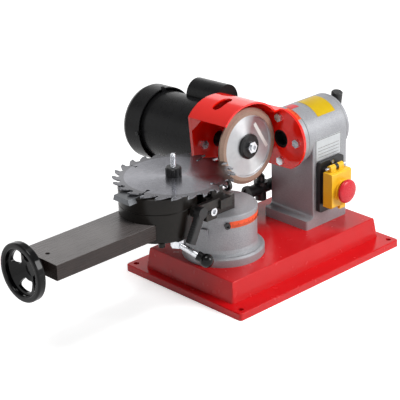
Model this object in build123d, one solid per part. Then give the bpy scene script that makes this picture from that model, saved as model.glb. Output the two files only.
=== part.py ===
from build123d import *
import os
from math import asin, atan2, cos, degrees, radians, sin, sqrt, tan

# Bench grinder for circular saw blades. Millimetres, +Z up, +X along the base towards the
# headstock, +Y towards the motor. The origin is the centre of the base's underside.

# Fits shared by all pieces
running_clearance = 0.05     # radial, a shaft in its hole
slide_clearance = 0.3        # between flat faces that slide or turn past each other

# Base casting
base_length = 375.0
base_width = 264.0
flange_thickness = 12.0
base_height = 46.0
box_length = 345.0
box_width = 200.0
box_draft = 6.0              # how far each side leans in from flange to top
base_wall = 8.0
mount_hole_diameter = 9.0
mount_hole_inset_x = 12.5
mount_hole_inset_y = 12.0
casting_corner = 5.0         # upright corners of the base

# Headstock casting
column_x = 109.0             # centre of the column
column_length = 82.0
column_width = 96.0
foot_reach = 16.0            # how far the foot stands out towards the turntable
foot_height = 16.0
barrel_reach = 9.0           # how far the barrel stands out towards the head
casting_wall = 8.0
column_end_wall = 36.0       # thick wall below the end cap, tapped for the rear bolts
end_cap_thickness = 7.0
frame_bolt_diameter = 8.0

# Tilting head
tilt_axis_height = 199.0
head_tilt = -3.0             # degrees about +X at rest, motor end down
tilt_shaft_diameter = 31.0
tilt_stud_diameter = 14.0
tilt_hub_length = 23.0
tilt_handle_length = 50.0
tilt_handle_diameter = 19.0
drum_diameter = 100.0
drum_thickness = 12.0
drum_groove_width = 1.8      # dark line between the drum and the barrel
drum_groove_depth = 6.0
plate_thickness = 5.0
plate_diameter = 104.0
plate_flat_drop = 48.0       # plate's flat bottom edge below the tilt axis
plate_bolt_circle = 74.0

# Motor and spindle, placed from the tilt axis
motor_offset = 64.0          # motor axis from the side plate's inner face
motor_rise = 3.4             # motor axis above the tilt axis
back_plate_distance = 76.7   # back plate's front face from the tilt axis
back_plate_thickness = 6.0
motor_diameter = 114.0
motor_length = 127.0
fan_cover_diameter = 126.0
fan_cover_length = 36.0
motor_wall = 4.0
motor_bolt_circle = 72.0
spindle_diameter = 15.0
bearing_diameter = 35.0
bearing_width = 11.0
stator_length = 72.0
rotor_diameter = 60.0
fan_hub_diameter = 28.0
fan_width = 16.0
fan_vanes = 9
air_gap = 0.5

# Hood over the wheel
hood_radius = 66.5           # outer, of the left bend
hood_right_radius = 70.0     # outer, of the right bend
hood_top_width = 6.3         # flat strip on top between the two bends
hood_centre_left = 9.0       # left bend's centre from the motor axis
hood_centre_up = 8.5
hood_thickness = 3.0
hood_front = -2.5            # front edge from the tilt axis
hood_left_angle = 140.0      # degrees, from +X towards +Z
hood_slot_set = 43.2         # slot's middle from the front edge
hood_slot_width = 18.0
hood_slot_start = 93.0       # angles of the slot's two end radii
hood_slot_end = 111.0

# Grinding wheel
wheel_diameter = 125.0
wheel_face_distance = 8.5    # abrasive face from the tilt axis
wheel_rim_width = 11.5
wheel_thickness = 12.0
wheel_bore = 20.0
flange_seat_diameter = 42.0
sleeve_diameter = 26.0       # sleeve on the motor shaft behind the wheel
sleeve_length = 30.0
washer_diameter = 41.0
washer_thickness = 6.0
wheel_screw_diameter = 10.0
wheel_screw_head = 12.0
wheel_screw_reach = 7.5
wheel_nut_across = 17.0      # flats of the screw's hexagon collar
wheel_nut_height = 5.0

# Capacitor cover and terminal box on the motor
capacitor_cover_radius = 25.0
capacitor_cover_length = 70.0
capacitor_diameter = 26.0
capacitor_offset = 30.0      # sideways from the motor axis
capacitor_rise = 57.0        # above the motor axis
terminal_width = 40.0
terminal_reach = 32.0
lead_diameter = 5.5

# Pedestal and turntable
pedestal_x = -93.0
pedestal_flange_diameter = 133.0
pedestal_flange_height = 15.0
turntable_diameter = 112.0
turntable_top = 128.0
turntable_height = 21.0
pivot_diameter = 20.0
scale_screw_angle = -127.0   # degrees about the turntable's axis, from +X

# Arm and lead screw
arm_y = 14.3                 # centre line of the arm, blade and handwheel
arm_length = 358.0
arm_width = 84.0
arm_thickness = 25.0
groove_width = 26.0
groove_depth = 19.0
arm_end_wall = 8.0
lead_screw_diameter = 12.0
screw_journal_diameter = 10.0
screw_drop = 13.5            # screw axis below the arm's top
handwheel_diameter = 91.0
handwheel_rim = 9.5
handwheel_width = 14.0
handwheel_reach = 35.0       # outer face from the hub's inner end
handwheel_dish = 22.0        # web's face at the hub behind the rim's outer face
handwheel_web = 5.0
handwheel_hub_diameter = 26.0

# Carriage, dovetail slide and arbor
carriage_x = -217.0
carriage_radius = 60.5
carriage_floor = 6.2         # wall under the arm
carriage_roof = 15.2         # wall over the arm
top_thickness = 26.0
slide_bottom_width = 37.0
slide_top_width = 31.5
slide_thickness = 8.8
slide_length = 140.0
slide_outer_x = -290.0
arbor_x = -182.2
arbor_stud_diameter = 8.0
arbor_stud_height = 39.0     # above the slide
arbor_flange_diameter = 36.0
arbor_flange_thickness = 1.0
arbor_nut_diameter = 25.0
arbor_nut_height = 14.0

# Feed crank and ball lever
feed_stroke = 15.0
crank_x = -226.0
crank_radius = 50.8
crank_shaft_diameter = 10.0
crank_pin_diameter = 8.0
crank_thickness = 7.0
lever_rod_diameter = 10.0
lever_ball_diameter = 22.0
lever_reach_x = 17.6         # ball from the crank's axis
lever_reach_y = 45.5
lever_drop = 21.0

# Saw blade
blade_diameter = 190.0
blade_teeth = 24
blade_thickness = 2.2
blade_bore = 20.0
tooth_depth = 12.0

# Tooth stop on the arm
bracket_x = -140.0           # centre of the block on the arm
bracket_length = 24.0
bracket_height = 15.0
apron_set = 12.0             # apron's middle from the block's, towards the carriage
apron_length = 22.0
bracket_front = 72.0         # front edge from the arm's centre line
wing_thickness = 7.0
wing_length = 57.0
stop_rod_diameter = 8.0
stop_rod_y = -30.0
stop_rod_length = 48.0
finger_thickness = 5.0
clamp_screw_diameter = 8.0
clamp_handle_length = 50.0

# Switch on the column's front
switch_x = 104.0
switch_z = 117.0
switch_width = 58.0
switch_height = 88.0
switch_depth = 13.0
flap_shift = 3.0             # flap's middle from the switch's, towards the head
flap_width = 47.0
flap_height = 60.0
flap_depth = 19.0
flap_wall = 2.5
flap_pin_diameter = 4.0
mushroom_diameter = 40.0
mushroom_drop = 4.0          # below the switch's middle
mushroom_collar = 4.0        # raised ring of the flap behind the button
mushroom_stem_diameter = 14.0
button_diameter = 13.0
switch_screw_diameter = 4.0
button_travel = 3.0

# Lead elbow behind the column
elbow_x = 58.0               # upright stem's axis
elbow_z = 90.0               # level barrel's axis
elbow_top = 103.0
elbow_diameter = 20.0
elbow_reach = 34.0           # barrel's closed end from the stem
nipple_x = 84.0              # where the wires enter the column
nipple_diameter = 12.0
gland_diameter = 14.0
gland_length = 12.0

# Places worked out from the sizes above
column_left = column_x - column_length / 2
column_right = column_x + column_length / 2
barrel_left = column_left - barrel_reach
barrel_radius = column_width / 2
foot_left = column_left - foot_reach
foot_top = base_height + foot_height
drum_right = barrel_left - slide_clearance
drum_left = drum_right - drum_thickness
plate_left = drum_left - plate_thickness
motor_x = plate_left - motor_offset
axis_z = tilt_axis_height
motor_z = axis_z + motor_rise
back_plate_rear = back_plate_distance + back_plate_thickness
motor_radius = motor_diameter / 2
motor_rear = back_plate_rear + motor_length
bell_depth = bearing_width + motor_wall
stator_front = back_plate_rear + (motor_length - stator_length) / 2
stator_rear = stator_front + stator_length
fan_cover_radius = fan_cover_diameter / 2
fan_cover_front = motor_rear - 6.0
fan_cover_rear = motor_rear + fan_cover_length
boss_front = back_plate_distance - 12.0
cap_left = column_right
cap_right = cap_left + end_cap_thickness
turntable_radius = turntable_diameter / 2
turntable_bottom = turntable_top - turntable_height
pedestal_top = turntable_bottom - slide_clearance
arm_bottom = turntable_top
arm_top = arm_bottom + arm_thickness
arm_inner = pedestal_x
arm_outer = arm_inner - arm_length
arm_front = arm_y - arm_width / 2
arm_back = arm_y + arm_width / 2
screw_z = arm_top - screw_drop
tunnel_bottom = arm_bottom - slide_clearance
tunnel_top = arm_top + slide_clearance
body_bottom = tunnel_bottom - carriage_floor
body_top = tunnel_top + carriage_roof
carriage_top_z = body_top + top_thickness
slide_top = carriage_top_z + 1.3
slide_bottom = slide_top - slide_thickness
crank_y = arm_y - crank_radius
crank_bottom = body_top + slide_clearance
crank_top = crank_bottom + crank_thickness
crank_rest = degrees(feed_stroke / crank_radius) / 2
crank_pin_x = crank_x + crank_radius * sin(radians(crank_rest))
crank_pin_y = crank_y + crank_radius * cos(radians(crank_rest))
flange_top = slide_top + arbor_flange_thickness
blade_bottom = flange_top + slide_clearance
blade_top = blade_bottom + blade_thickness
nut_bottom = blade_top + slide_clearance
lever_z = body_bottom - 6.5
stop_rod_z = arm_top + bracket_height + stop_rod_diameter / 2 + 1.0
column_front = -column_width / 2
switch_face = column_front - switch_depth
flap_back = switch_face - slide_clearance
flap_front = flap_back - flap_depth
flap_x = switch_x - flap_shift
hinge_y = switch_face - 6.0
hinge_z = switch_z + 35.0
column_rear = column_width / 2
elbow_y = column_rear + elbow_diameter / 2 + 4.0


# Shapes used by several pieces
def block(x, y, z):
    """Box between three pairs of limits."""
    size = Box(x[1] - x[0], y[1] - y[0], z[1] - z[0])
    return Pos((x[0] + x[1]) / 2, (y[0] + y[1]) / 2, (z[0] + z[1]) / 2) * size


def lay(axis, at):
    """Location whose local +Z runs along the axis through the two other coordinates in at."""
    if axis == "x":
        return Pos(0, at[0], at[1]) * Rot(0, 90, 0)
    if axis == "y":
        return Pos(at[0], 0, at[1]) * Rot(-90, 0, 0)
    return Pos(at[0], at[1], 0)


def rod(axis, at, start, end, radius):
    """Round bar along an axis from start to end."""
    return lay(axis, at) * Pos(0, 0, (start + end) / 2) * Cylinder(radius, end - start)


def tube(axis, at, start, end, inner, outer):
    """Round bar with a bore."""
    return rod(axis, at, start, end, outer) - rod(axis, at, start - 1, end + 1, inner)


def turned(axis, at, profile):
    """Turned piece from points (radius, place along the axis)."""
    points = [(radius, 0, along) for radius, along in profile]
    return lay(axis, at) * revolve(make_face(Polyline(*points, close=True)), Axis.Z)


def wedge(axis, at, start, end, first, last, reach=400.0):
    """Slice between two angles, up to 170 degrees wide, for cutting sectors.

    Angles count from +X to +Y about Z, from +X to +Z about Y, and from +Y to +Z about X.
    """
    if axis == "x":
        first, last = first + 90, last + 90
    if axis == "y":
        first, last = -last, -first
    angles = [radians(a) for a in (first, (first + last) / 2, last)]
    corners = [(0, 0)] + [(reach * cos(a), reach * sin(a)) for a in angles]
    face = make_face(Polyline(*corners, close=True))
    return lay(axis, at) * Pos(0, 0, start) * extrude(face, end - start, dir=(0, 0, 1))


def hex_bolt(diameter, length, washer=0.0):
    """Hex bolt, with a washer of that thickness if any. The seat is at 0, the shank runs along +Z."""
    head_height = diameter * 0.65
    bolt = Pos(0, 0, -washer - head_height) * extrude(
        RegularPolygon(diameter * 0.81, 6, major_radius=False), head_height)
    bolt += Pos(0, 0, (length - washer) / 2) * Cylinder(diameter / 2, length + washer)
    if washer > 0:
        bolt += Pos(0, 0, -washer / 2) * Cylinder(diameter * 1.05, washer)
    return bolt


def socket_screw(diameter, length, head_diameter, head_height):
    """Socket head screw. The head's seat is at 0, the shank runs along +Z."""
    head = Pos(0, 0, -head_height / 2) * Cylinder(head_diameter / 2, head_height)
    socket = Pos(0, 0, -head_height) * extrude(
        RegularPolygon(diameter * 0.4, 6, major_radius=False), head_height * 0.55)
    return head - socket + Pos(0, 0, length / 2) * Cylinder(diameter / 2, length)


def tilted(shape):
    """The head's pieces, turned about the tilt axis into their place at rest."""
    return Pos(0, 0, axis_z) * Rot(head_tilt, 0, 0) * Pos(0, 0, -axis_z) * shape


def hole(diameter):
    """Radius of the hole that a shaft of this diameter runs in."""
    return diameter / 2 + running_clearance


nodes = {}

# Base: red cast box on a bolted flange, open below, with a cross rib
box_height = base_height - flange_thickness
draft_angle = degrees(atan2(box_draft, box_height))
flange = fillet(block((-base_length / 2, base_length / 2), (-base_width / 2, base_width / 2),
                      (0, flange_thickness)).edges().filter_by(Axis.Z), casting_corner)
flange = chamfer(flange.faces().sort_by(Axis.Z)[-1].edges(), 1.2)
raised = extrude(RectangleRounded(box_length, box_width, casting_corner), box_height, taper=draft_angle)
raised = fillet(raised.faces().sort_by(Axis.Z)[-1].edges(), 1.6)
base = flange + Pos(0, 0, flange_thickness) * raised
hollow_height = base_height - base_wall
base -= extrude(Rectangle(box_length - 2 * base_wall, box_width - 2 * base_wall), hollow_height,
                taper=draft_angle)
rib_half = base_wall / 2
rib_bottom = flange_thickness + 2
rib_upper = box_width / 2 - 2 * base_wall
rib_lower = box_width / 2 - base_wall * 0.75
base += block((-rib_half, rib_half), (-rib_upper, rib_upper), (rib_bottom, hollow_height))
base += block((-rib_half, rib_half), (-rib_lower, rib_lower), (rib_bottom, hollow_height / 2))
for side_x in (-1, 1):
    for side_y in (-1, 1):
        hole_x = side_x * (base_length / 2 - mount_hole_inset_x)
        hole_y = side_y * (base_width / 2 - mount_hole_inset_y)
        base -= rod("z", (hole_x, hole_y), -1, flange_thickness + 1, mount_hole_diameter / 2)

foot_bolt_places = [(foot_left + foot_reach / 2, side * column_width * 0.375) for side in (-1, 1)]
rear_bolt_x = column_right - column_end_wall / 2
foot_bolt_places += [(rear_bolt_x, side * column_width * 0.375) for side in (-1, 1)]
pedestal_bolt_circle = turntable_radius - 6
pedestal_bolt_places = [(pedestal_x + pedestal_bolt_circle * cos(radians(a)),
                         pedestal_bolt_circle * sin(radians(a))) for a in (90, 210, 330)]
frame_bolts = []
for place in foot_bolt_places + pedestal_bolt_places:
    base -= rod("z", place, hollow_height - 1, base_height + 1, frame_bolt_diameter / 2 + 0.5)
    bolt = hex_bolt(frame_bolt_diameter, base_wall + 12, washer=1.6)
    frame_bolts.append(Pos(place[0], place[1], hollow_height) * bolt)
nodes["base"] = base
nodes["base_bolts"] = frame_bolts

# Headstock: grey casting, hollow column on a foot, with a barrel across its top
foot = fillet(block((foot_left, column_right), (-column_width / 2, column_width / 2),
                    (base_height, foot_top)).edges().filter_by(Axis.Z), 4)
column = fillet(block((column_left, column_right), (-column_width / 2, column_width / 2),
                      (base_height, axis_z)).edges().filter_by(Axis.Z), 3)
barrel = rod("x", (0, axis_z), barrel_left, column_right, barrel_radius)
barrel = chamfer(barrel.edges().sort_by(Axis.X)[0], 1.2)
barrel = chamfer(barrel.edges().sort_by(Axis.X)[-1], 0.8)
headstock = foot + column + barrel
toe = [edge for edge in headstock.edges().filter_by(Axis.Y)
       if abs(edge.center().X - column_left) < 0.1 and abs(edge.center().Z - foot_top) < 0.1]
headstock = fillet(toe, 6)
shaft_hole = hole(tilt_shaft_diameter)
cavity_top = axis_z - shaft_hole - 2 * casting_wall
headstock -= block((column_left + casting_wall, column_right - column_end_wall),
                   (casting_wall - column_width / 2, column_width / 2 - casting_wall),
                   (base_height - 1, cavity_top))
headstock -= rod("x", (0, axis_z), barrel_left - 1, column_right + 1, shaft_hole)
for place in foot_bolt_places:
    headstock -= rod("z", place, base_height - 1, base_height + 14, hole(frame_bolt_diameter))
headstock -= rod("y", (switch_x, switch_z), column_front - 1, column_front + casting_wall + 1, 7)
headstock -= rod("y", (nipple_x, elbow_z), column_rear - casting_wall - 1, column_rear + 1,
                 hole(nipple_diameter))
nodes["headstock"] = headstock

# End cap: grey cover over the barrel's far end
cap = fillet(rod("x", (0, axis_z), cap_left, cap_right, barrel_radius).edges().sort_by(Axis.X)[-1], 3)
cap = chamfer(cap.edges().sort_by(Axis.X)[0], 0.8)
nodes["end_cap"] = cap - rod("x", (0, axis_z), cap_left - 1, cap_right + 1, tilt_shaft_diameter / 2 + 0.5)

# Pedestal: grey round casting, hollow, with a small index lug below the arm
flange_radius = pedestal_flange_diameter / 2
shoulder = base_height + pedestal_flange_height
neck = turntable_radius - 1
pedestal = turned("z", (pedestal_x, 0), [
    (hole(pivot_diameter), pedestal_top), (neck, pedestal_top), (neck, shoulder + 9),
    (neck + 1.5, shoulder + 3), (neck + 5, shoulder), (flange_radius - 3, shoulder),
    (flange_radius, shoulder - 3), (flange_radius, base_height), (neck - 12, base_height),
    (neck - 12, pedestal_top - 14), (hole(pivot_diameter), pedestal_top - 14)])
lug = block((-neck - 5, -neck + 4), (-6, 6), (pedestal_top - 16, pedestal_top - 1))
pedestal += Pos(pedestal_x, 0, 0) * Rot(0, 0, 15) * lug
for place in pedestal_bolt_places:
    pedestal -= rod("z", place, base_height - 1, base_height + 13, hole(frame_bolt_diameter))
nodes["pedestal"] = pedestal

# Pivot pin: steel, collared below the pedestal's top, running in the turntable
pin_top = turntable_bottom + turntable_height * 0.7
pivot_pin = rod("z", (pedestal_x, 0), pedestal_top - 26, pin_top, pivot_diameter / 2)
pivot_pin += rod("z", (pedestal_x, 0), pedestal_top - 26, pedestal_top - 14, pivot_diameter * 0.8)
nodes["pivot_pin"] = pivot_pin

# Turntable: grey disc on the pedestal that carries the arm
turntable = turned("z", (pedestal_x, 0), [
    (0, turntable_top), (turntable_radius - 1.5, turntable_top), (turntable_radius, turntable_top - 1.5),
    (turntable_radius, turntable_bottom), (hole(pivot_diameter), turntable_bottom),
    (hole(pivot_diameter), pin_top + slide_clearance), (0, pin_top + slide_clearance)])

# Arm: flat steel bar with a groove below for the lead screw and a slot for the stop
arm = block((arm_outer, arm_inner), (arm_front, arm_back), (arm_bottom, arm_top))
arm = chamfer(arm.edges().filter_by(Axis.X), 1)
groove_outer = arm_outer + arm_end_wall
groove_inner = arm_inner - 14
arm -= block((groove_outer, groove_inner), (arm_y - groove_width / 2, arm_y + groove_width / 2),
             (arm_bottom - 1, arm_bottom + groove_depth))
arm -= rod("x", (arm_y, screw_z), arm_outer - 1, groove_outer + 1, hole(screw_journal_diameter))
arm -= rod("x", (arm_y, screw_z), groove_inner - 1, arm_inner - 4, hole(screw_journal_diameter))
arm -= rod("z", (arm_outer + 17, arm_y), arm_top - 9, arm_top + 1, 3.5)
slot_y = arm_y - 29
slot = block((arm_inner - 66, arm_inner - 14), (slot_y - 4, slot_y + 4), (arm_bottom - 1, arm_top + 1))
arm -= fillet(slot.edges().filter_by(Axis.Z), 3.9)

# Socket screws: two up into the arm, one through the stop bracket, one at the angle scale
bracket_screw_z = arm_bottom + 16.5
apron_x = bracket_x - apron_set
arm_screw_places = [(pedestal_x - 34, arm_y - 34), (pedestal_x - 34, arm_y + 24)]
screws = []
for place in arm_screw_places:
    turntable -= rod("z", place, turntable_bottom - 1, turntable_top + 1, 4.5)
    turntable -= rod("z", place, turntable_bottom - 1, turntable_bottom + 10, 7.5)
    arm -= rod("z", place, arm_bottom - 1, arm_bottom + 12, hole(8))
    screw = socket_screw(8, turntable_height, 13, 8)
    screws.append(Pos(place[0], place[1], turntable_bottom + 10) * screw)
scale_turn = Pos(pedestal_x, 0, turntable_top - 14) * Rot(0, 0, scale_screw_angle) * Rot(0, -90, 0)
screws.append(scale_turn * Pos(0, 0, -turntable_radius - 0.4) * socket_screw(6, 14, 10, 5))
turntable -= scale_turn * Pos(0, 0, -turntable_radius + 7) * Cylinder(hole(6), 16)
arm -= rod("y", (apron_x, bracket_screw_z), arm_front - 1, arm_front + 16, hole(8))
nodes["turntable"] = turntable
nodes["arm"] = arm

# Stop bracket: black block on the arm's top with an apron on its front side, a rod boss
# and a wing in front of the carriage
bracket_left = bracket_x - bracket_length / 2
bracket_right = bracket_x + bracket_length / 2
bracket_y = arm_y - bracket_front
bracket_top = arm_top + bracket_height
apron_front = arm_front - 9
wing_back = arm_y - carriage_radius - 2 * slide_clearance
wing_front = wing_back - wing_thickness
wing_left = bracket_left - wing_length + 2
wing_top = bracket_top + 3
wing_bottom = bracket_top - 11
bracket_ends = (bracket_left, bracket_right)
boss_top = stop_rod_z + stop_rod_diameter / 2 + 3
stop_bracket = block(bracket_ends, (bracket_y, arm_front + 24), (arm_top, bracket_top))
apron_ends = (apron_x - apron_length / 2, apron_x + apron_length / 2)
stop_bracket += block(apron_ends, (apron_front, arm_front), (arm_bottom + 1, bracket_top))
stop_bracket += block(bracket_ends, (stop_rod_y - 8, stop_rod_y + 8), (bracket_top - 2, boss_top))
stop_bracket += block((wing_left, bracket_left + 2), (wing_front, wing_back), (wing_bottom, wing_top))
stop_bracket -= rod("x", (stop_rod_y, stop_rod_z), bracket_left - 1, bracket_right + 1,
                    hole(stop_rod_diameter))
stop_bracket -= rod("y", (apron_x, bracket_screw_z), apron_front - 1, arm_front + 1, 4.3)
clamp_x = wing_left + 9
clamp_z = (wing_bottom + wing_top) / 2
stop_bracket -= rod("y", (clamp_x, clamp_z), wing_front - 1, wing_back + 1, hole(clamp_screw_diameter))
nodes["stop_bracket"] = stop_bracket
screw = socket_screw(8, 22, 13, 6)
screws.append(Pos(apron_x, apron_front, bracket_screw_z) * Rot(-90, 0, 0) * screw)
nodes["socket_screws"] = screws

# Stop rod: round steel bar held in the bracket's boss
rod_left = bracket_left - 3
rod_right = rod_left + stop_rod_length
nodes["stop_rod"] = rod("x", (stop_rod_y, stop_rod_z), rod_left, rod_right, stop_rod_diameter / 2)

# Stop finger: black pawl that swings on the stop rod and stands under the blade's edge
finger_left = rod_right - finger_thickness - 1
finger_right = rod_right - 1
finger_top = blade_bottom - 1.5
finger_cut = (finger_left - 1, finger_right + 1)
finger = rod("x", (stop_rod_y, stop_rod_z), finger_left, finger_right, 9)
finger += block((finger_left, finger_right), (stop_rod_y - 4, stop_rod_y + 6), (stop_rod_z, finger_top))
for step in range(4):
    notch_z = stop_rod_z + 10 + 3 * step
    if notch_z < finger_top - 1:
        finger -= block(finger_cut, (stop_rod_y - 5, stop_rod_y - 3), (notch_z, notch_z + 1.4))
finger -= rod("x", (stop_rod_y, stop_rod_z), finger_cut[0], finger_cut[1], hole(stop_rod_diameter))
nodes["stop_finger"] = finger

# Stop clamp lever: ribbed plastic handle on a screw through the bracket's wing
clamp_hub_back = wing_front - slide_clearance
clamp_hub_front = clamp_hub_back - 13
clamp = rod("y", (clamp_x, clamp_z), clamp_hub_front, clamp_hub_back, 9)
clamp += rod("y", (clamp_x, clamp_z), clamp_hub_back - 1, wing_back, clamp_screw_diameter / 2)
handle = fillet(block((-7, 7), (-6, 6), (0, clamp_handle_length)).edges().filter_by(Axis.Z), 3)
for step in range(8):
    rib_at = 17 + step * (clamp_handle_length - 22) / 7
    for side in (-1, 1):
        handle -= Pos(side * 7, 0, rib_at) * Box(1.8, 14, 1.8)
clamp += Pos(clamp_x, (clamp_hub_front + clamp_hub_back) / 2, clamp_z) * Rot(0, 207, 0) * handle
nodes["stop_clamp_lever"] = clamp

# Lead screw: steel, with a collar inside the arm's end wall and journals at both ends
hub_inner = arm_outer - 1
wheel_outer = hub_inner - handwheel_reach
web_front = wheel_outer + handwheel_dish
hub_outer = web_front - 1.5
journal = screw_journal_diameter / 2
lead_screw = rod("x", (arm_y, screw_z), groove_outer + slide_clearance, groove_inner - slide_clearance,
                 lead_screw_diameter / 2)
lead_screw += rod("x", (arm_y, screw_z), groove_outer + slide_clearance, groove_outer + 7, journal + 2)
lead_screw += rod("x", (arm_y, screw_z), hub_outer + 5, groove_outer + 1, journal)
lead_screw += rod("x", (arm_y, screw_z), groove_inner - 1, arm_inner - 5, journal)
nodes["lead_screw"] = lead_screw

# Handwheel: black, deeply dished, with three rounded windows in its web
wheel_radius = handwheel_diameter / 2
rim_inner = wheel_radius - handwheel_rim
rim_right = wheel_outer + handwheel_width
rim = tube("x", (arm_y, screw_z), wheel_outer, rim_right, rim_inner, wheel_radius)
rim = fillet(rim.edges(), handwheel_rim * 0.34)
hub_radius = handwheel_hub_diameter / 2
web = turned("x", (arm_y, screw_z), [
    (hub_radius - 4, web_front), (rim_inner + 1, rim_right - handwheel_web - 1),
    (rim_inner + 1, rim_right - 1), (hub_radius - 4, web_front + handwheel_web + 1)])
window_ring = tube("x", (arm_y, screw_z), wheel_outer, hub_inner, hub_radius + 5, rim_inner - 2.5)
for angle in (37, 157, 277):
    window = window_ring & wedge("x", (arm_y, screw_z), wheel_outer, hub_inner, angle - 29, angle + 29)
    web -= fillet(window.edges().filter_by(Axis.X), 5)
hub = turned("x", (arm_y, screw_z), [
    (0, hub_outer), (hub_radius - 2, hub_outer), (hub_radius, hub_outer + 2),
    (hub_radius, hub_inner - 2), (hub_radius - 2, hub_inner), (0, hub_inner)])
handwheel = rim + web + hub
handwheel -= rod("x", (arm_y, screw_z), hub_outer + 4, hub_inner + 1, hole(screw_journal_diameter))
nodes["handwheel"] = handwheel

# Carriage body: dark turned casting that rides around the arm
carriage_at = (carriage_x, arm_y)
body = rod("z", carriage_at, body_bottom, body_top, carriage_radius)
body = chamfer(body.edges().sort_by(Axis.Z)[0], 1.5)
body = chamfer(body.edges().sort_by(Axis.Z)[-1], 1)
tunnel_half = arm_width / 2 + slide_clearance
body -= block((carriage_x - 80, carriage_x + 80), (arm_y - tunnel_half, arm_y + tunnel_half),
              (tunnel_bottom, tunnel_top))
body -= rod("z", (crank_x, crank_y), body_bottom - 1, body_top + 1, hole(crank_shaft_diameter))
stop_screw_at = (carriage_x - 36, arm_y - 46)
body += rod("z", stop_screw_at, body_bottom - 5, body_bottom + 1, 5)
nodes["carriage_body"] = body

# Lead nut: bronze block on the carriage's floor, inside the arm's groove
nut_half = groove_width / 2 - 2 * slide_clearance
nut = block((carriage_x - 20, carriage_x + 20), (arm_y - nut_half, arm_y + nut_half),
            (tunnel_bottom, arm_bottom + groove_depth - 2 * slide_clearance))
nut -= rod("x", (arm_y, screw_z), carriage_x - 21, carriage_x + 21, hole(lead_screw_diameter))
nodes["lead_nut"] = nut

# Carriage top: dark disc with a dovetail groove above and a pocket for the feed crank below
groove_slope = (slide_bottom_width - slide_top_width) / 2 / slide_thickness
groove_floor = slide_bottom - slide_clearance
groove_low = slide_bottom_width / 2 + slide_clearance * 1.3
groove_high = groove_low - groove_slope * (carriage_top_z + 1 - groove_floor)
top = rod("z", carriage_at, body_top, carriage_top_z, carriage_radius)
top = chamfer(top.edges().sort_by(Axis.Z)[-1], 1.5)
top = chamfer(top.edges().sort_by(Axis.Z)[0], 1)
groove_face = make_face(Polyline(
    (0, -groove_low, groove_floor), (0, groove_low, groove_floor), (0, groove_high, carriage_top_z + 1),
    (0, -groove_high, carriage_top_z + 1), close=True))
top -= Pos(carriage_x - 80, arm_y, 0) * extrude(groove_face, 160, dir=(1, 0, 0))
pocket_top = crank_top + 2 * slide_clearance
crank_half = crank_shaft_diameter / 2 + 1.5
pocket_half = feed_stroke / 2 + crank_half + 2
pocket_end = crank_y + crank_radius + crank_half + 2
pocket_face = make_face(Polyline(
    (crank_x - crank_half - 2, crank_y), (crank_x + crank_half + 2, crank_y),
    (crank_x + pocket_half, pocket_end), (crank_x - pocket_half, pocket_end), close=True))
top -= Pos(0, 0, body_top - 1) * extrude(pocket_face, pocket_top - body_top + 1, dir=(0, 0, 1))
top -= rod("z", (crank_x, crank_y), body_top - 1, pocket_top, crank_half + slide_clearance)
pin_room = crank_pin_diameter / 2 + 1
top -= block((crank_x - feed_stroke / 2 - pin_room, crank_x + feed_stroke / 2 + pin_room),
             (crank_pin_y - pin_room, arm_y + pin_room), (pocket_top - 1, groove_floor + 1))
nodes["carriage_top"] = top

# Feed crank: vertical steel shaft in the carriage with a crank arm and pin under the slide
pin_end = slide_bottom + 3.5
crank = rod("z", (crank_x, crank_y), lever_z - 5, crank_top, crank_shaft_diameter / 2)
crank_arm = block((-crank_half, crank_half), (0, crank_radius), (crank_bottom, crank_top))
crank_arm += rod("z", (0, 0), crank_bottom, crank_top, crank_half)
crank_arm += rod("z", (0, crank_radius), crank_bottom, crank_top, crank_half)
crank_arm += rod("z", (0, crank_radius), crank_bottom, pin_end, crank_pin_diameter / 2)
nodes["feed_crank"] = crank + Pos(crank_x, crank_y, 0) * Rot(0, 0, -crank_rest) * crank_arm

# Feed lever: bright hex hub on the crank's lower end with a rod to the ball
hub_hex = extrude(RegularPolygon(9, 6, major_radius=False), 11)
lever = Pos(crank_x, crank_y, lever_z - 5) * hub_hex
reach = sqrt(lever_reach_x ** 2 + lever_reach_y ** 2 + lever_drop ** 2)
along = Vector(lever_reach_x, -lever_reach_y, -lever_drop) / reach
lever_line = Plane(origin=(crank_x, crank_y, lever_z), z_dir=along).location
ball_radius = lever_ball_diameter / 2
lever += lever_line * Pos(0, 0, (reach - 4) / 2) * Cylinder(lever_rod_diameter / 2, reach - 4)
lever -= rod("z", (crank_x, crank_y), lever_z - 40, crank_bottom, hole(crank_shaft_diameter))
nodes["feed_lever"] = lever

# Lever ball: black plastic ball with a short neck, screwed on the rod
ball = Sphere(ball_radius) + Pos(0, 0, -ball_radius) * Cylinder(ball_radius * 0.68, ball_radius * 0.9)
ball -= Pos(0, 0, -ball_radius - 4) * Cylinder(hole(lever_rod_diameter), 2 * ball_radius)
nodes["lever_ball"] = lever_line * Pos(0, 0, reach) * ball

# Dovetail slide: bright steel bar that carries the arbor, moved by the crank's pin
low_half = slide_bottom_width / 2
high_half = slide_top_width / 2
slide_face = make_face(Polyline(
    (0, -low_half, slide_bottom), (0, low_half, slide_bottom),
    (0, high_half, slide_top), (0, -high_half, slide_top), close=True))
slide = Pos(slide_outer_x, arm_y, 0) * extrude(slide_face, slide_length, dir=(1, 0, 0))
pin_half = crank_pin_diameter / 2 + slide_clearance
slide -= block((crank_pin_x - pin_half, crank_pin_x + pin_half), (crank_pin_y - pin_half, arm_y + pin_half),
               (slide_bottom - 1, pin_end + 1))
slide -= rod("z", (arbor_x, arm_y), slide_bottom - 1, slide_top + 1, hole(arbor_stud_diameter))
nodes["dovetail_slide"] = slide

# Arbor stud: bright threaded stud with a flange that the blade lies on
stud_radius = arbor_stud_diameter / 2
arbor_stud = rod("z", (arbor_x, arm_y), slide_bottom + 1, slide_top + arbor_stud_height, stud_radius)
arbor_stud += rod("z", (arbor_x, arm_y), slide_top, flange_top, arbor_flange_diameter / 2)
nodes["arbor_stud"] = arbor_stud

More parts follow.
